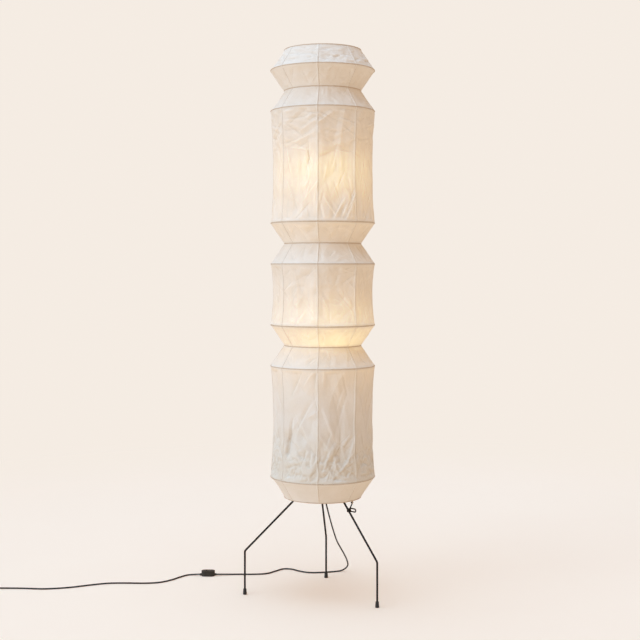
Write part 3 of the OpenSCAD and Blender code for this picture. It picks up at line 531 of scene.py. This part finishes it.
def band_tree():
    """A band of equal panels between two hoops, from one bent grid set round the axis."""
    group = bpy.data.node_groups.new("lantern_band", "GeometryNodeTree")
    for name in ("Low Radius", "Low Height", "High Radius", "High Height", "Waist", "Flatness",
                 "Seam Angle"):
        add_input(group, name)
    for name in ("Panels", "Columns", "Rows"):
        add_input(group, name, "NodeSocketInt")
    add_input(group, "Paper", "NodeSocketMaterial")
    group.interface.new_socket(name="Band", in_out="OUTPUT", socket_type="NodeSocketGeometry")
    t = Tree(group)
    given = t.add("NodeGroupInput").outputs
    grid = t.add("GeometryNodeMeshGrid", {"Size X": 2.0, "Size Y": 1.0})
    for side, count in (("Vertices X", "Columns"), ("Vertices Y", "Rows")):
        group.links.new(t.plus(given[count], 1.0), grid.inputs[side])
    split = t.add("ShaderNodeSeparateXYZ", {0: t.out("GeometryNodeInputPosition")})
    across, up = split.outputs[0], t.plus(split.outputs[1], 0.5)
    half = t.math("DIVIDE", math.pi, given["Panels"])
    angle = t.times(across, half)
    spread = t.math("SUBTRACT", given["High Radius"], given["Low Radius"])
    radius = t.math("MULTIPLY_ADD", spread, up, given["Low Radius"])
    belly = t.times(t.times(up, t.left(up)), 4.0)
    radius = t.math("SUBTRACT", radius, t.times(given["Waist"], belly))
    middle = t.math("ABSOLUTE", t.math("MULTIPLY_ADD", up, 2.0, -1.0))
    flat = t.times(given["Flatness"], t.left(t.math("POWER", middle, 3.0)))
    chord = t.math("DIVIDE", t.math("COSINE", half), t.math("COSINE", angle))
    share = t.math("MULTIPLY_ADD", flat, t.math("SUBTRACT", chord, 1.0), 1.0)
    radius = t.times(radius, share)
    rise = t.math("SUBTRACT", given["High Height"], given["Low Height"])
    place = t.out("ShaderNodeCombineXYZ", {
        0: t.times(radius, t.math("COSINE", angle)),
        1: t.times(radius, t.math("SINE", angle)),
        2: t.math("MULTIPLY_ADD", rise, up, given["Low Height"])})
    from_middle = t.math("ABSOLUTE", across)
    marked = t.out("GeometryNodeStoreNamedAttribute",
                   {"Geometry": grid.outputs[0], "Name": "edge", "Value": from_middle},
                   data_type="FLOAT", domain="POINT")
    marked = t.out("GeometryNodeStoreNamedAttribute",
                   {"Geometry": marked, "Name": "lap", "Value": across},
                   data_type="FLOAT", domain="FACE")
    bent = t.out("GeometryNodeSetPosition", {"Geometry": marked, "Position": place})
    points = t.add("GeometryNodeMeshLine", {"Count": given["Panels"], "Offset": (0, 0, 0)})
    turn = t.times(t.plus(t.out("GeometryNodeInputIndex"), 0.5), t.times(half, 2.0))
    turned = t.out("ShaderNodeCombineXYZ", {2: t.plus(turn, given["Seam Angle"])})
    copies = t.out("GeometryNodeInstanceOnPoints",
                   {"Points": points.outputs[0], "Instance": bent, "Rotation": turned})
    solid = t.out("GeometryNodeRealizeInstances", {0: copies})
    merged = t.out("GeometryNodeMergeByDistance", {"Geometry": solid, "Distance": 0.00005})
    smooth = t.out("GeometryNodeSetShadeSmooth", {"Geometry": merged})
    coloured = t.add("GeometryNodeSetMaterial", {"Geometry": smooth, "Material": given["Paper"]})
    t.add("NodeGroupOutput", {0: coloured.outputs[0]})
    return group


def seam_tree():
    """Glued laps along a finished band's seams, and thin dark tubes at their edges as painted
    shadow.
    """
    group = bpy.data.node_groups.new("lantern_seams", "GeometryNodeTree")
    add_input(group, "Band", "NodeSocketGeometry")
    for name in ("Lap From", "Lift", "Thickness", "Shadow Line Radius"):
        add_input(group, name)
    for name in ("Lap Paper", "Shadow Line Paper"):
        add_input(group, name, "NodeSocketMaterial")
    group.interface.new_socket(name="Seams", in_out="OUTPUT", socket_type="NodeSocketGeometry")
    t = Tree(group)
    given = t.add("NodeGroupInput").outputs
    lap = t.out("GeometryNodeInputNamedAttribute", {"Name": "lap"}, data_type="FLOAT")
    edge = t.out("GeometryNodeInputNamedAttribute", {"Name": "edge"}, data_type="FLOAT")
    normal = t.out("GeometryNodeInputNormal")
    outside = t.math("LESS_THAN", lap, given["Lap From"])
    strip = t.out("GeometryNodeDeleteGeometry", {"Geometry": given["Band"], "Selection": outside},
                  domain="FACE", mode="ALL")
    offset = t.out("ShaderNodeVectorMath", {0: normal, "Scale": given["Lift"]}, operation="SCALE")
    base = t.out("GeometryNodeSetPosition", {"Geometry": strip, "Offset": offset})
    raised = t.out("GeometryNodeExtrudeMesh",
                   {"Mesh": base, "Offset Scale": given["Thickness"], "Individual": False},
                   mode="FACES")
    under = t.out("GeometryNodeFlipFaces", {0: base})
    both = t.add("GeometryNodeJoinGeometry")
    for part in (under, raised):
        group.links.new(part, both.inputs[0])
    closed = t.out("GeometryNodeMergeByDistance",
                   {"Geometry": both.outputs[0], "Distance": 0.00002})
    closed = t.add("GeometryNodeSetMaterial", {"Geometry": closed, "Material": given["Lap Paper"]})
    # a thin dark tube along each seam, at the lap's edge, as a painted shadow
    seam = t.math("GREATER_THAN", edge, 0.999)
    lifted = t.out("GeometryNodeSetPosition", {"Geometry": given["Band"], "Offset": offset})
    shadow_line = t.out("GeometryNodeMeshToCurve", {"Mesh": lifted, "Selection": seam})
    profile = t.out("GeometryNodeCurvePrimitiveCircle",
                    {"Resolution": 6, "Radius": given["Shadow Line Radius"]})
    shadow_tube = t.out("GeometryNodeCurveToMesh",
                 {"Curve": shadow_line, "Profile Curve": profile, "Fill Caps": True})
    shadow_tube = t.add("GeometryNodeSetMaterial", {"Geometry": shadow_tube, "Material": given["Shadow Line Paper"]})
    joined = t.add("GeometryNodeJoinGeometry")
    for part in (shadow_tube.outputs[0], closed.outputs[0]):
        group.links.new(part, joined.inputs[0])
    solid = t.out("GeometryNodeRealizeInstances", {0: joined.outputs[0]})
    t.add("NodeGroupOutput", {0: solid})
    return group


class Folds:
    """Creases pressed into one band of paper, each a sharp ridge with a steep and a long side."""

    def __init__(self, mesh, low, high, reach, seed):
        count = len(mesh.vertices)
        flat = np.empty(count * 3)
        mesh.vertices.foreach_get("co", flat)
        self.co = flat.reshape(-1, 3)
        self.angle = np.arctan2(self.co[:, 1], self.co[:, 0])
        turn = (self.angle - SEAM_AZ) / (2 * HALF_PANEL)
        self.panel = np.floor(turn + 1e-6).astype(int) % PANELS
        self.u = ((turn + 1e-6) % 1.0) * 2 - 1
        self.x = self.u * HALF_PANEL * reach
        self.h = self.co[:, 2] - low
        self.height = high - low
        self.half = HALF_PANEL * reach
        self.dent = np.zeros(count)
        self.slide = np.zeros(count)
        self.random = random.Random(seed)

    def crease(self, panel, x, h, turn, half_length, width, depth, skew=2.2):
        dx, dh = self.x - x, self.h - h
        c, s = math.cos(math.radians(turn)), math.sin(math.radians(turn))
        along, cross = dx * c + dh * s, dh * c - dx * s
        side = np.where(cross > 0, cross / width, -cross / (width * skew))
        ridge = np.clip(1 - side, 0, 1) ** 1.3
        window = np.clip(1 - (along / half_length) ** 2, 0, 1)
        self.dent += np.where(self.panel == panel, ridge * window * depth, 0)

    def scatter(self, count, rows, turns, lengths, widths, depths):
        pick = self.random.uniform
        for panel in range(PANELS):
            for _ in range(count):
                self.crease(panel, pick(-SPREAD, SPREAD) * self.half,
                            pick(*rows) * self.height, pick(*turns) * self.random.choice((-1, 1)),
                            pick(*lengths), pick(*widths),
                            pick(*depths) * self.random.choice((-1, -1, 1)),
                            self.random.choice((0.45, 2.2)))

    def ripple(self, scale, depth, stretch=(1, 1, 1)):
        """Low waves over the whole band, none at its edges."""
        up = self.h / self.height
        share = np.clip(up / SOFT_EDGE, 0, 1) * np.clip((1 - up) / SOFT_EDGE, 0, 1)
        for i in np.nonzero(share > 0)[0]:
            p = self.co[i]
            where = Vector((p[0] * stretch[0], p[1] * stretch[1], p[2] * stretch[2])) * scale
            self.dent[i] += depth * share[i] * noise.noise(where)

    def crumple(self, scale, depth, rows=(0.0, 1.0), stretch=0.5):
        """Facets between sharp lines: valleys of one noise field and ridges of another."""
        up = self.h / self.height
        share = np.clip((up - rows[0]) / SOFT_EDGE + (rows[0] <= 0), 0, 1) * \
            np.clip((rows[1] - up) / SOFT_EDGE + (rows[1] >= 1), 0, 1)
        shift = self.random.uniform(0, 50)
        for i in np.nonzero(share > 0)[0]:
            p = self.co[i]
            where = Vector((p[0], p[1], p[2] * stretch)) * scale
            where.x += shift
            own = where + Vector((0, 0, OWN_FIELD * (self.panel[i] + 1)))
            own_share = 1 - abs(self.u[i]) ** 5
            value = 0.0
            for field, part in ((where, SEAM_FACETS), (own, own_share)):
                valley = 1 - min(abs(noise.noise(field)) * LINES, 1)
                ridge = 1 - min(abs(noise.noise(field + RIDGE_FIELD)) * LINES, 1)
                value += part * (ridge - valley)
            self.dent[i] += depth * share[i] * value

    def waver(self, depth, scale, rows):
        """Shifts the seams sideways a little, most where the paper has slackened."""
        share = np.clip((rows[1] - self.h / self.height) / (rows[1] - rows[0]), 0, 1)
        for i in range(len(self.co)):
            push = noise.noise(Vector((0.0, self.co[i][2] * scale, 3.7)))
            self.slide[i] += depth * share[i] * push * abs(self.u[i]) ** 3

    def apply(self, mesh, slope):
        """Moves the points along the outward normal of the band, and none at the hoops.

        What the paper's material reads stays on the mesh: the way to the nearest hoop, how far the
        point was pushed out, and how sharply it stands out of its surroundings, which the material
        paints as highlight on ridges and shade in valleys.
        """
        gap = np.minimum(self.h, self.height - self.h)
        hold = np.clip((gap - HOLD_FROM) / HOLD_OVER, 0, 1)
        hold = hold * hold * (3 - 2 * hold)
        dent = np.clip(self.dent, DEEPEST, HIGHEST) * hold
        ends = np.empty(len(mesh.edges) * 2, dtype=int)
        mesh.edges.foreach_get("vertices", ends)
        a, b = ends.reshape(-1, 2).T
        bend = np.zeros(len(dent))
        np.add.at(bend, a, dent[a] - dent[b])
        np.add.at(bend, b, dent[b] - dent[a])
        out = np.stack([np.cos(self.angle) * slope[0], np.sin(self.angle) * slope[0],
                        np.full(len(self.angle), slope[1])], axis=1)
        side = np.stack([-np.sin(self.angle), np.cos(self.angle), np.zeros(len(self.angle))],
                        axis=1)
        moved = self.co + out * dent[:, None] + side * (self.slide * hold)[:, None]
        mesh.vertices.foreach_set("co", moved.ravel())
        painted_crease_shading = np.clip(bend / SHARP, -1, 1)
        for name, values in (("rim", gap), ("dent", dent), ("painted_crease_shading", painted_crease_shading)):
            made = mesh.attributes.new(name, "FLOAT", "POINT")
            made.data.foreach_set("value", values.astype(np.float32))
        mesh.update()


def fold_upper_band(f):
    f.scatter(6, (0.74, 0.97), (8, 35), (0.03, 0.07), (0.008, 0.016), (0.0008, 0.0020))
    f.scatter(4, (0.55, 0.8), (5, 30), (0.03, 0.06), (0.008, 0.016), (0.0006, 0.0014))
    f.scatter(7, (0.25, 0.6), (62, 88), (0.03, 0.08), (0.006, 0.012), (0.0006, 0.0016))
    f.scatter(5, (0.03, 0.28), (48, 80), (0.03, 0.06), (0.006, 0.011), (0.0008, 0.0020))
    for x, turn in ((-0.028, 125), (0.006, 58), (0.03, 62), (0.048, 66)):
        f.crease(0, x, 0.045, turn, 0.05, 0.006, 0.0022)
    f.crease(0, -0.052, 0.352, 35, 0.045, 0.012, 0.0028)
    f.crease(7, 0.035, 0.33, 28, 0.05, 0.01, 0.002)
    f.crease(7, 0.02, 0.29, 20, 0.05, 0.01, 0.0016)
    f.crumple(10, 0.0021, stretch=0.5)
    f.crumple(15, 0.0013, (0.58, 1.0), 1.7)
    f.crumple(24, 0.0009, (0.0, 0.62), 0.5)
    f.ripple(26, 0.0011)


def fold_lower_band(f):
    f.scatter(4, (0.7, 0.97), (50, 90), (0.03, 0.06), (0.007, 0.014), (0.0006, 0.0014))
    f.scatter(5, (0.35, 0.72), (55, 90), (0.04, 0.09), (0.01, 0.02), (0.0008, 0.0018))
    f.scatter(9, (0.16, 0.40), (25, 88), (0.02, 0.05), (0.006, 0.014), (0.0008, 0.0020))
    f.scatter(12, (0.03, 0.2), (5, 80), (0.014, 0.036), (0.005, 0.011), (0.0008, 0.0020))
    f.crease(7, -0.046, 0.15, 82, 0.075, 0.012, -0.005, 0.8)
    f.crease(7, 0.05, 0.235, 30, 0.03, 0.012, 0.0024)
    f.crease(0, -0.03, 0.19, 112, 0.075, 0.01, 0.0026)
    f.crease(0, -0.038, 0.08, 65, 0.06, 0.008, 0.0022)
    f.crease(0, 0.01, 0.05, 120, 0.055, 0.008, 0.0024)
    f.crease(0, 0.03, 0.065, 48, 0.05, 0.007, 0.0022)
    f.crease(0, 0.055, 0.11, 70, 0.06, 0.008, 0.0024)
    f.crumple(8, 0.0030, stretch=0.4)
    f.crumple(19, 0.0022, (0.0, 0.48), 0.7)
    f.crumple(34, 0.0015, (0.0, 0.33), 0.9)
    f.ripple(24, 0.0012)
    f.waver(0.006, 22, (0.1, 0.5))


def fold_middle_band(f):
    f.scatter(5, (0.6, 0.95), (10, 60), (0.03, 0.06), (0.007, 0.014), (0.0005, 0.0013))
    f.scatter(6, (0.05, 0.6), (40, 90), (0.03, 0.06), (0.007, 0.014), (0.0005, 0.0013))
    f.crumple(12, 0.0015, stretch=0.6)
    f.crumple(26, 0.0006, (0.0, 1.0), 0.8)
    f.ripple(28, 0.0011)


def fold_top_rim(f):
    f.scatter(8, (0.2, 0.85), (0, 22), (0.016, 0.04), (0.004, 0.008), (0.0004, 0.0010))
    f.crumple(18, 0.0013, stretch=2.2)
    f.crumple(9, 0.0012, stretch=1.2)
    f.ripple(46, 0.0006, stretch=(1, 1, 1.8))


def fold_slope(f):
    f.scatter(4, (0.2, 0.85), (35, 85), (0.014, 0.03), (0.004, 0.009), (0.0003, 0.0008))
    f.crumple(16, 0.0013, stretch=0.8)
    f.ripple(34, 0.0005)


def fold_base(f):
    f.scatter(2, (0.3, 0.7), (60, 90), (0.015, 0.03), (0.006, 0.01), (0.0002, 0.0005))
    f.ripple(20, 0.0005)


FOLD_STYLES = {
    "upper_band_paper": fold_upper_band,
    "lower_band_paper": fold_lower_band,
    "middle_band_paper": fold_middle_band,
    "top_rim_paper": fold_top_rim,
    "base_under_paper": fold_base,
}


def make_band(name, settings, trees, papers, seed):
    body, low_kind, low, high_kind, high = BANDS[name]
    radii = {"wide": settings.wide_radius, "narrow": settings.narrow_radius}
    tall = name in FOLDS
    low_edge = low + (FREE_LIP if tall else HOOP_LIP)
    high_edge = high - HOOP_LIP
    rows = round((high - low) / (TALL_ROW if tall else SLOPE_ROW))
    mesh = run_tree(name, trees[0], {
        "Low Radius": radii[low_kind], "Low Height": low_edge, "High Radius": radii[high_kind],
        "High Height": high_edge, "Waist": settings.waist if tall else 0.0,
        "Flatness": settings.tall_flatness if tall else settings.slope_flatness,
        "Seam Angle": SEAM_AZ, "Panels": PANELS, "Columns": COLUMNS, "Rows": rows,
        "Paper": papers[0]})
    reach = (radii[low_kind] + radii[high_kind]) / 2
    folds = Folds(mesh, low_edge, high_edge, reach, seed)
    FOLD_STYLES.get(name, fold_slope)(folds)
    run, rise = radii[high_kind] - radii[low_kind], high - low
    length = math.hypot(run, rise)
    folds.apply(mesh, (rise / length, -run / length))
    seams = run_tree(name.replace("_paper", "_seams"), trees[1], {
        "Lap From": 1 - LAP_COLUMNS * 2 / COLUMNS, "Lift": PAPER_WALL / 2,
        "Thickness": LAP_WALL, "Shadow Line Radius": SEAM_SHADOW_R, "Lap Paper": papers[1],
        "Shadow Line Paper": papers[2]}, start=mesh.copy())
    paper = new_object(name.replace("_paper", "_sheet"), mesh)
    wall = paper.modifiers.new("wall", "SOLIDIFY")
    wall.thickness, wall.offset = PAPER_WALL, 0.0
    solid = evaluated_mesh(paper)
    paper.modifiers.clear()
    paper.data = solid
    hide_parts(name)
    pieces = [paper, new_object(seams.name, seams)]
    for piece in pieces:
        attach(piece, body)
        if tall:
            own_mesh(piece)


# ---- Lead ----

def metres(points):
    return [Vector(p) / 1000 for p in points]


def coil_points():
    """The two layers of the coil: inwards at the bottom, up in half a turn, and out on top."""
    middle = COIL_R - COIL_IN * COIL_PITCH
    points = []
    for i in range(round((COIL_IN + COIL_OUT) * COIL_POINTS) + 1):
        turns = i / COIL_POINTS
        angle = math.radians(-90 - 360 * turns)
        radius = middle + COIL_PITCH * abs(turns - COIL_IN)
        climb = min(max((turns - COIL_IN) * 2 + 0.5, 0), 1)
        points.append((COIL_X + radius * math.cos(angle), COIL_Y + radius * math.sin(angle),
                       COIL_LOW + COIL_STEP * climb))
    return points


def tube_curve(name, points, diameter, material):
    """A round lead along one smooth open curve through the points."""
    data = bpy.data.curves.new(name, "CURVE")
    data.dimensions = "3D"
    data.resolution_u = CURVE_STEPS
    data.bevel_depth = diameter / 2
    data.bevel_resolution = 4
    data.use_fill_caps = True
    spline = data.splines.new("BEZIER")
    spline.bezier_points.add(len(points) - 1)
    last = len(points) - 1
    for i, point in enumerate(points):
        before, after = points[max(i - 1, 0)], points[min(i + 1, last)]
        way = (after - before).normalized()
        if point.z <= LAY / 1000 + 1e-6:
            way.z = 0
        knot = spline.bezier_points[i]
        knot.handle_left_type = knot.handle_right_type = "FREE"
        knot.co = point
        knot.handle_left = point - way * ((point - before).length / 3)
        knot.handle_right = point + way * ((after - point).length / 3)
    data.materials.append(material)
    return new_object(name, data)


def curve_length(points):
    total, last = 0.0, len(points) - 1
    previous = points[0]
    for i in range(last):
        a, b = points[i], points[i + 1]
        before, after = points[max(i - 1, 0)], points[min(i + 2, last)]
        span = (b - a).length
        c = a + (b - before).normalized() * span / 3
        d = b - (after - a).normalized() * span / 3
        for k in range(1, CURVE_STEPS + 1):
            s = k / CURVE_STEPS
            r = 1 - s
            place = a * r ** 3 + c * 3 * r * r * s + d * 3 * r * s * s + b * s ** 3
            total += (place - previous).length
            previous = place
    return total


# ---- Operators ----

class LANTERN_OT_camera(bpy.types.Operator):
    """Set the camera at the photograph's place"""
    bl_idname = "lantern.camera"
    bl_label = "Camera"

    def execute(self, context):
        data = bpy.data.cameras.new("camera")
        data.lens = context.scene.lantern_stage.lens
        data.sensor_width = SENSOR_MM
        data.shift_y = CAMERA_SHIFT
        data.clip_end = 200
        camera = new_object("camera", data)
        camera.location = CAMERA_AT
        camera.rotation_euler = (math.radians(90), 0, 0)
        context.scene.camera = camera
        return {"FINISHED"}


class LANTERN_OT_lead(bpy.types.Operator):
    """Lay the lead from the hub through its switch to the coil and the plug"""
    bl_idname = "lantern.lead"
    bl_label = "Lead"

    def execute(self, context):
        settings = context.scene.lantern_lead
        sheath = sheath_material(settings.colour)
        first = metres(MAINS_ROUTE)
        second = metres(PLUG_ROUTE + coil_points() + LEAD_ROUTE)
        mains = tube_curve("lead_to_switch", first, settings.diameter, sheath)
        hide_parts("mains_cord")
        plug = tube_curve("lead_to_plug", second, settings.diameter, sheath)
        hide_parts("plug_cord", "cord_coil", "plug_lead")
        for piece in (mains, plug):
            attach(piece, "stand")
        curve_length(first)
        curve_length(second)
        dress(sheath, "inner_lead", "cord_gland")
        return {"FINISHED"}


class LANTERN_OT_paper(bpy.types.Operator):
    """Make the creased paper bands with their glued seams"""
    bl_idname = "lantern.paper"
    bl_label = "Paper"

    def execute(self, context):
        settings = context.scene.lantern_paper
        colour, glow_colour = tuple(settings.colour), tuple(settings.glow_colour)
        papers = (paper_material("stiff_paper", colour, glow_colour, settings.glow),
                  paper_material("seam_paper", tuple(c * LAP_TONE for c in colour), glow_colour,
                                 settings.glow * LAP_GLOW),
                  seam_shadow_material())
        trees = (band_tree(), seam_tree())
        for seed, name in enumerate(BANDS, start=11):
            make_band(name, settings, trees, papers, seed)
        return {"FINISHED"}


class LANTERN_OT_hoops(bpy.types.Operator):
    """Finish the wire hoops, the crossbar and the hook's lug"""
    bl_idname = "lantern.hoops"
    bl_label = "Hoops"

    def execute(self, context):
        dress(wire_material(), "top_crossbar", "top_hoops", "upper_waist_hoops",
              "lower_waist_hoops", "base_hoops", "hook_lug")
        return {"FINISHED"}


class LANTERN_OT_stand(bpy.types.Operator):
    """Finish the legs, feet, hub, pole and hook"""
    bl_idname = "lantern.stand"
    bl_label = "Stand"

    def execute(self, context):
        dress(painted_steel(), "leg_left", "leg_back", "leg_right", "leg_hub", "lower_pole",
              "upper_pole", "shade_hook")
        dress(moulded_plastic("foot_rubber", (0.012, 0.012, 0.012), (0.03, 0.028, 0.027), 0.6),
              "foot_left", "foot_back", "foot_right")
        dress(bare_metal("zinc_plate", (0.42, 0.42, 0.43), (0.62, 0.62, 0.60), 0.28),
              "hub_screws", "pole_coupling", "pole_cap", "lower_bulb_bracket",
              "upper_bulb_bracket", "bracket_screws", "switch_screws")
        return {"FINISHED"}


class LANTERN_OT_lamps(bpy.types.Operator):
    """Finish the bulbs and the lampholders"""
    bl_idname = "lantern.lamps"
    bl_label = "Lamps"

    def execute(self, context):
        dress(bulb_glass(), "lower_bulb_glass", "upper_bulb_glass")
        dress(threaded_metal("cap_metal", (0.66, 0.66, 0.66), (0.84, 0.84, 0.83)),
              "lower_bulb_cap", "upper_bulb_cap")
        dress(moulded_plastic("holder_plastic", (0.014, 0.013, 0.012), (0.035, 0.033, 0.03)),
              "lower_lampholder_shell", "upper_lampholder_shell")
        dress(moulded_plastic("insulator", (0.74, 0.72, 0.67), (0.86, 0.85, 0.80), 0.3),
              "lower_lampholder_core", "upper_lampholder_core")
        dress(bare_metal("brass", (0.62, 0.44, 0.18), (0.80, 0.62, 0.30), 0.24),
              "holder_nipples", "lampholder_contacts", "switch_contacts")
        return {"FINISHED"}


class LANTERN_OT_fittings(bpy.types.Operator):
    """Finish the switch, the plug and the coil's strap"""
    bl_idname = "lantern.fittings"
    bl_label = "Switch and plug"

    def execute(self, context):
        dress(moulded_plastic("switch_plastic", (0.012, 0.011, 0.010), (0.03, 0.028, 0.025)),
              "switch_base", "switch_cover", "plug_body", "coil_tie")
        dress(moulded_plastic("rocker_plastic", (0.022, 0.02, 0.018), (0.045, 0.042, 0.038), 0.3),
              "switch_rocker")
        dress(bare_metal("nickel", (0.66, 0.64, 0.60), (0.80, 0.78, 0.74), 0.2), "plug_pins")
        return {"FINISHED"}


class LANTERN_OT_stage(bpy.types.Operator):
    """Set the pale floor, the soft key light and the room light"""
    bl_idname = "lantern.stage"
    bl_label = "Studio"

    def execute(self, context):
        settings = context.scene.lantern_stage
        backdrop = tuple(settings.backdrop)
        floor = new_object("floor", disc_mesh("floor", FLOOR_R, FLOOR_Z))
        floor.data.materials.append(floor_material(backdrop))
        for name, (share, colour, spread, rise) in LIGHTS.items():
            data = bpy.data.lights.new(name, "SUN")
            data.energy, data.color = settings.sun * share, colour
            data.angle = math.radians(spread)
            side, up = math.radians(LIGHT_SIDE), math.radians(rise)
            way = Vector((math.cos(side) * math.cos(up), math.sin(side) * math.cos(up),
                          math.sin(up)))
            new_object(name, data).rotation_euler = way.to_track_quat("Z", "Y").to_euler()
        world = bpy.data.worlds.new("room")
        context.scene.world = world
        t = empty_tree(world)
        way = t.add("ShaderNodeTexCoord").outputs["Generated"]
        up = t.height(way)
        sky = t.mix(t.step(up, 0.2, 1.0), SKY_LOW, SKY_HIGH)
        room = t.add("ShaderNodeBackground", {"Color": sky, "Strength": settings.sky})
        shown = t.add("ShaderNodeBackground", {"Color": (*backdrop, 1.0)})
        path = t.add("ShaderNodeLightPath")
        seen = t.math("MAXIMUM", path.outputs["Is Camera Ray"], path.outputs["Is Transmission Ray"])
        both = t.add("ShaderNodeMixShader", {0: seen, 1: room.outputs[0], 2: shown.outputs[0]})
        t.add("ShaderNodeOutputWorld", {"Surface": both.outputs[0]})
        context.scene.view_settings.view_transform = "Standard"
        return {"FINISHED"}


def disc_mesh(name, radius, height):
    mesh = bpy.data.meshes.new(name)
    ring = [(radius * math.cos(math.radians(a)), radius * math.sin(math.radians(a)), height)
            for a in range(0, 360, 5)]
    mesh.from_pydata(ring, [], [list(range(len(ring)))])
    mesh.update()
    return mesh


def floor_material(backdrop):
    """A matt floor that keeps a soft shadow near the lamp and fades into the backdrop's colour."""
    made = bpy.data.materials.new("pale_floor")
    t = empty_tree(made)
    place = object_place(t)
    tone = t.noise(place, 3.0, 2)
    lit = t.mix(tone, tuple(c * 0.99 for c in FLOOR_ALBEDO), tuple(c * 1.01 for c in FLOOR_ALBEDO))
    rest = tuple(c - a * i for c, a, i in zip(backdrop, FLOOR_ALBEDO, FLOOR_LIGHT))
    matt = t.add("ShaderNodeAddShader", {
        0: t.out("ShaderNodeBsdfDiffuse", {"Color": lit}),
        1: t.out("ShaderNodeEmission", {"Color": (*rest, 1.0)})})
    plain = t.add("ShaderNodeEmission", {"Color": (*backdrop, 1.0)})
    far = t.step(t.vector("DISTANCE", place, FADE_CENTRE), FADE_FROM, FADE_TO)
    even = t.add("ShaderNodeMixShader", {0: far, 1: matt.outputs[0], 2: plain.outputs[0]})
    bounce = t.add("ShaderNodeBsdfDiffuse", {"Color": (*FLOOR_TINT, 1.0)})
    glow = t.add("ShaderNodeEmission", {"Color": (*FLOOR_GLOW, 1.0)})
    fill = t.add("ShaderNodeAddShader", {0: bounce.outputs[0], 1: glow.outputs[0]})
    seen = t.add("ShaderNodeLightPath").outputs["Is Camera Ray"]
    both = t.add("ShaderNodeMixShader", {0: seen, 1: fill.outputs[0], 2: even.outputs[0]})
    t.add("ShaderNodeOutputMaterial", {"Surface": both.outputs[0]})
    return made


OPERATORS = (LANTERN_OT_camera, LANTERN_OT_lead, LANTERN_OT_paper, LANTERN_OT_hoops,
             LANTERN_OT_stand, LANTERN_OT_lamps, LANTERN_OT_fittings, LANTERN_OT_stage)
GROUPS = {"lantern_paper": LanternPaper, "lantern_lead": LanternLead,
          "lantern_stage": LanternStage}


class LANTERN_PT_panel(bpy.types.Panel):
    """Lists the lamp's sizes, colours and building steps"""
    bl_idname = "LANTERN_PT_panel"
    bl_label = "Lantern"
    bl_space_type = "VIEW_3D"
    bl_region_type = "UI"
    bl_category = "Lantern"

    def draw(self, context):
        for name, group in GROUPS.items():
            box = self.layout.box()
            for field in group.__annotations__:
                box.prop(getattr(context.scene, name), field)
        for operator in OPERATORS:
            self.layout.operator(operator.bl_idname)


def register():
    for item in (*GROUPS.values(), *OPERATORS, LANTERN_PT_panel):
        bpy.utils.register_class(item)
    for name, group in GROUPS.items():
        setattr(bpy.types.Scene, name, bpy.props.PointerProperty(type=group))


def unregister():
    for name in GROUPS:
        delattr(bpy.types.Scene, name)
    for item in (LANTERN_PT_panel, *reversed(OPERATORS), *reversed(list(GROUPS.values()))):
        bpy.utils.unregister_class(item)


def main():
    register()
    for operator in OPERATORS:
        group, name = operator.bl_idname.split(".")
        getattr(getattr(bpy.ops, group), name)()


if __name__ == "__main__":
    main()
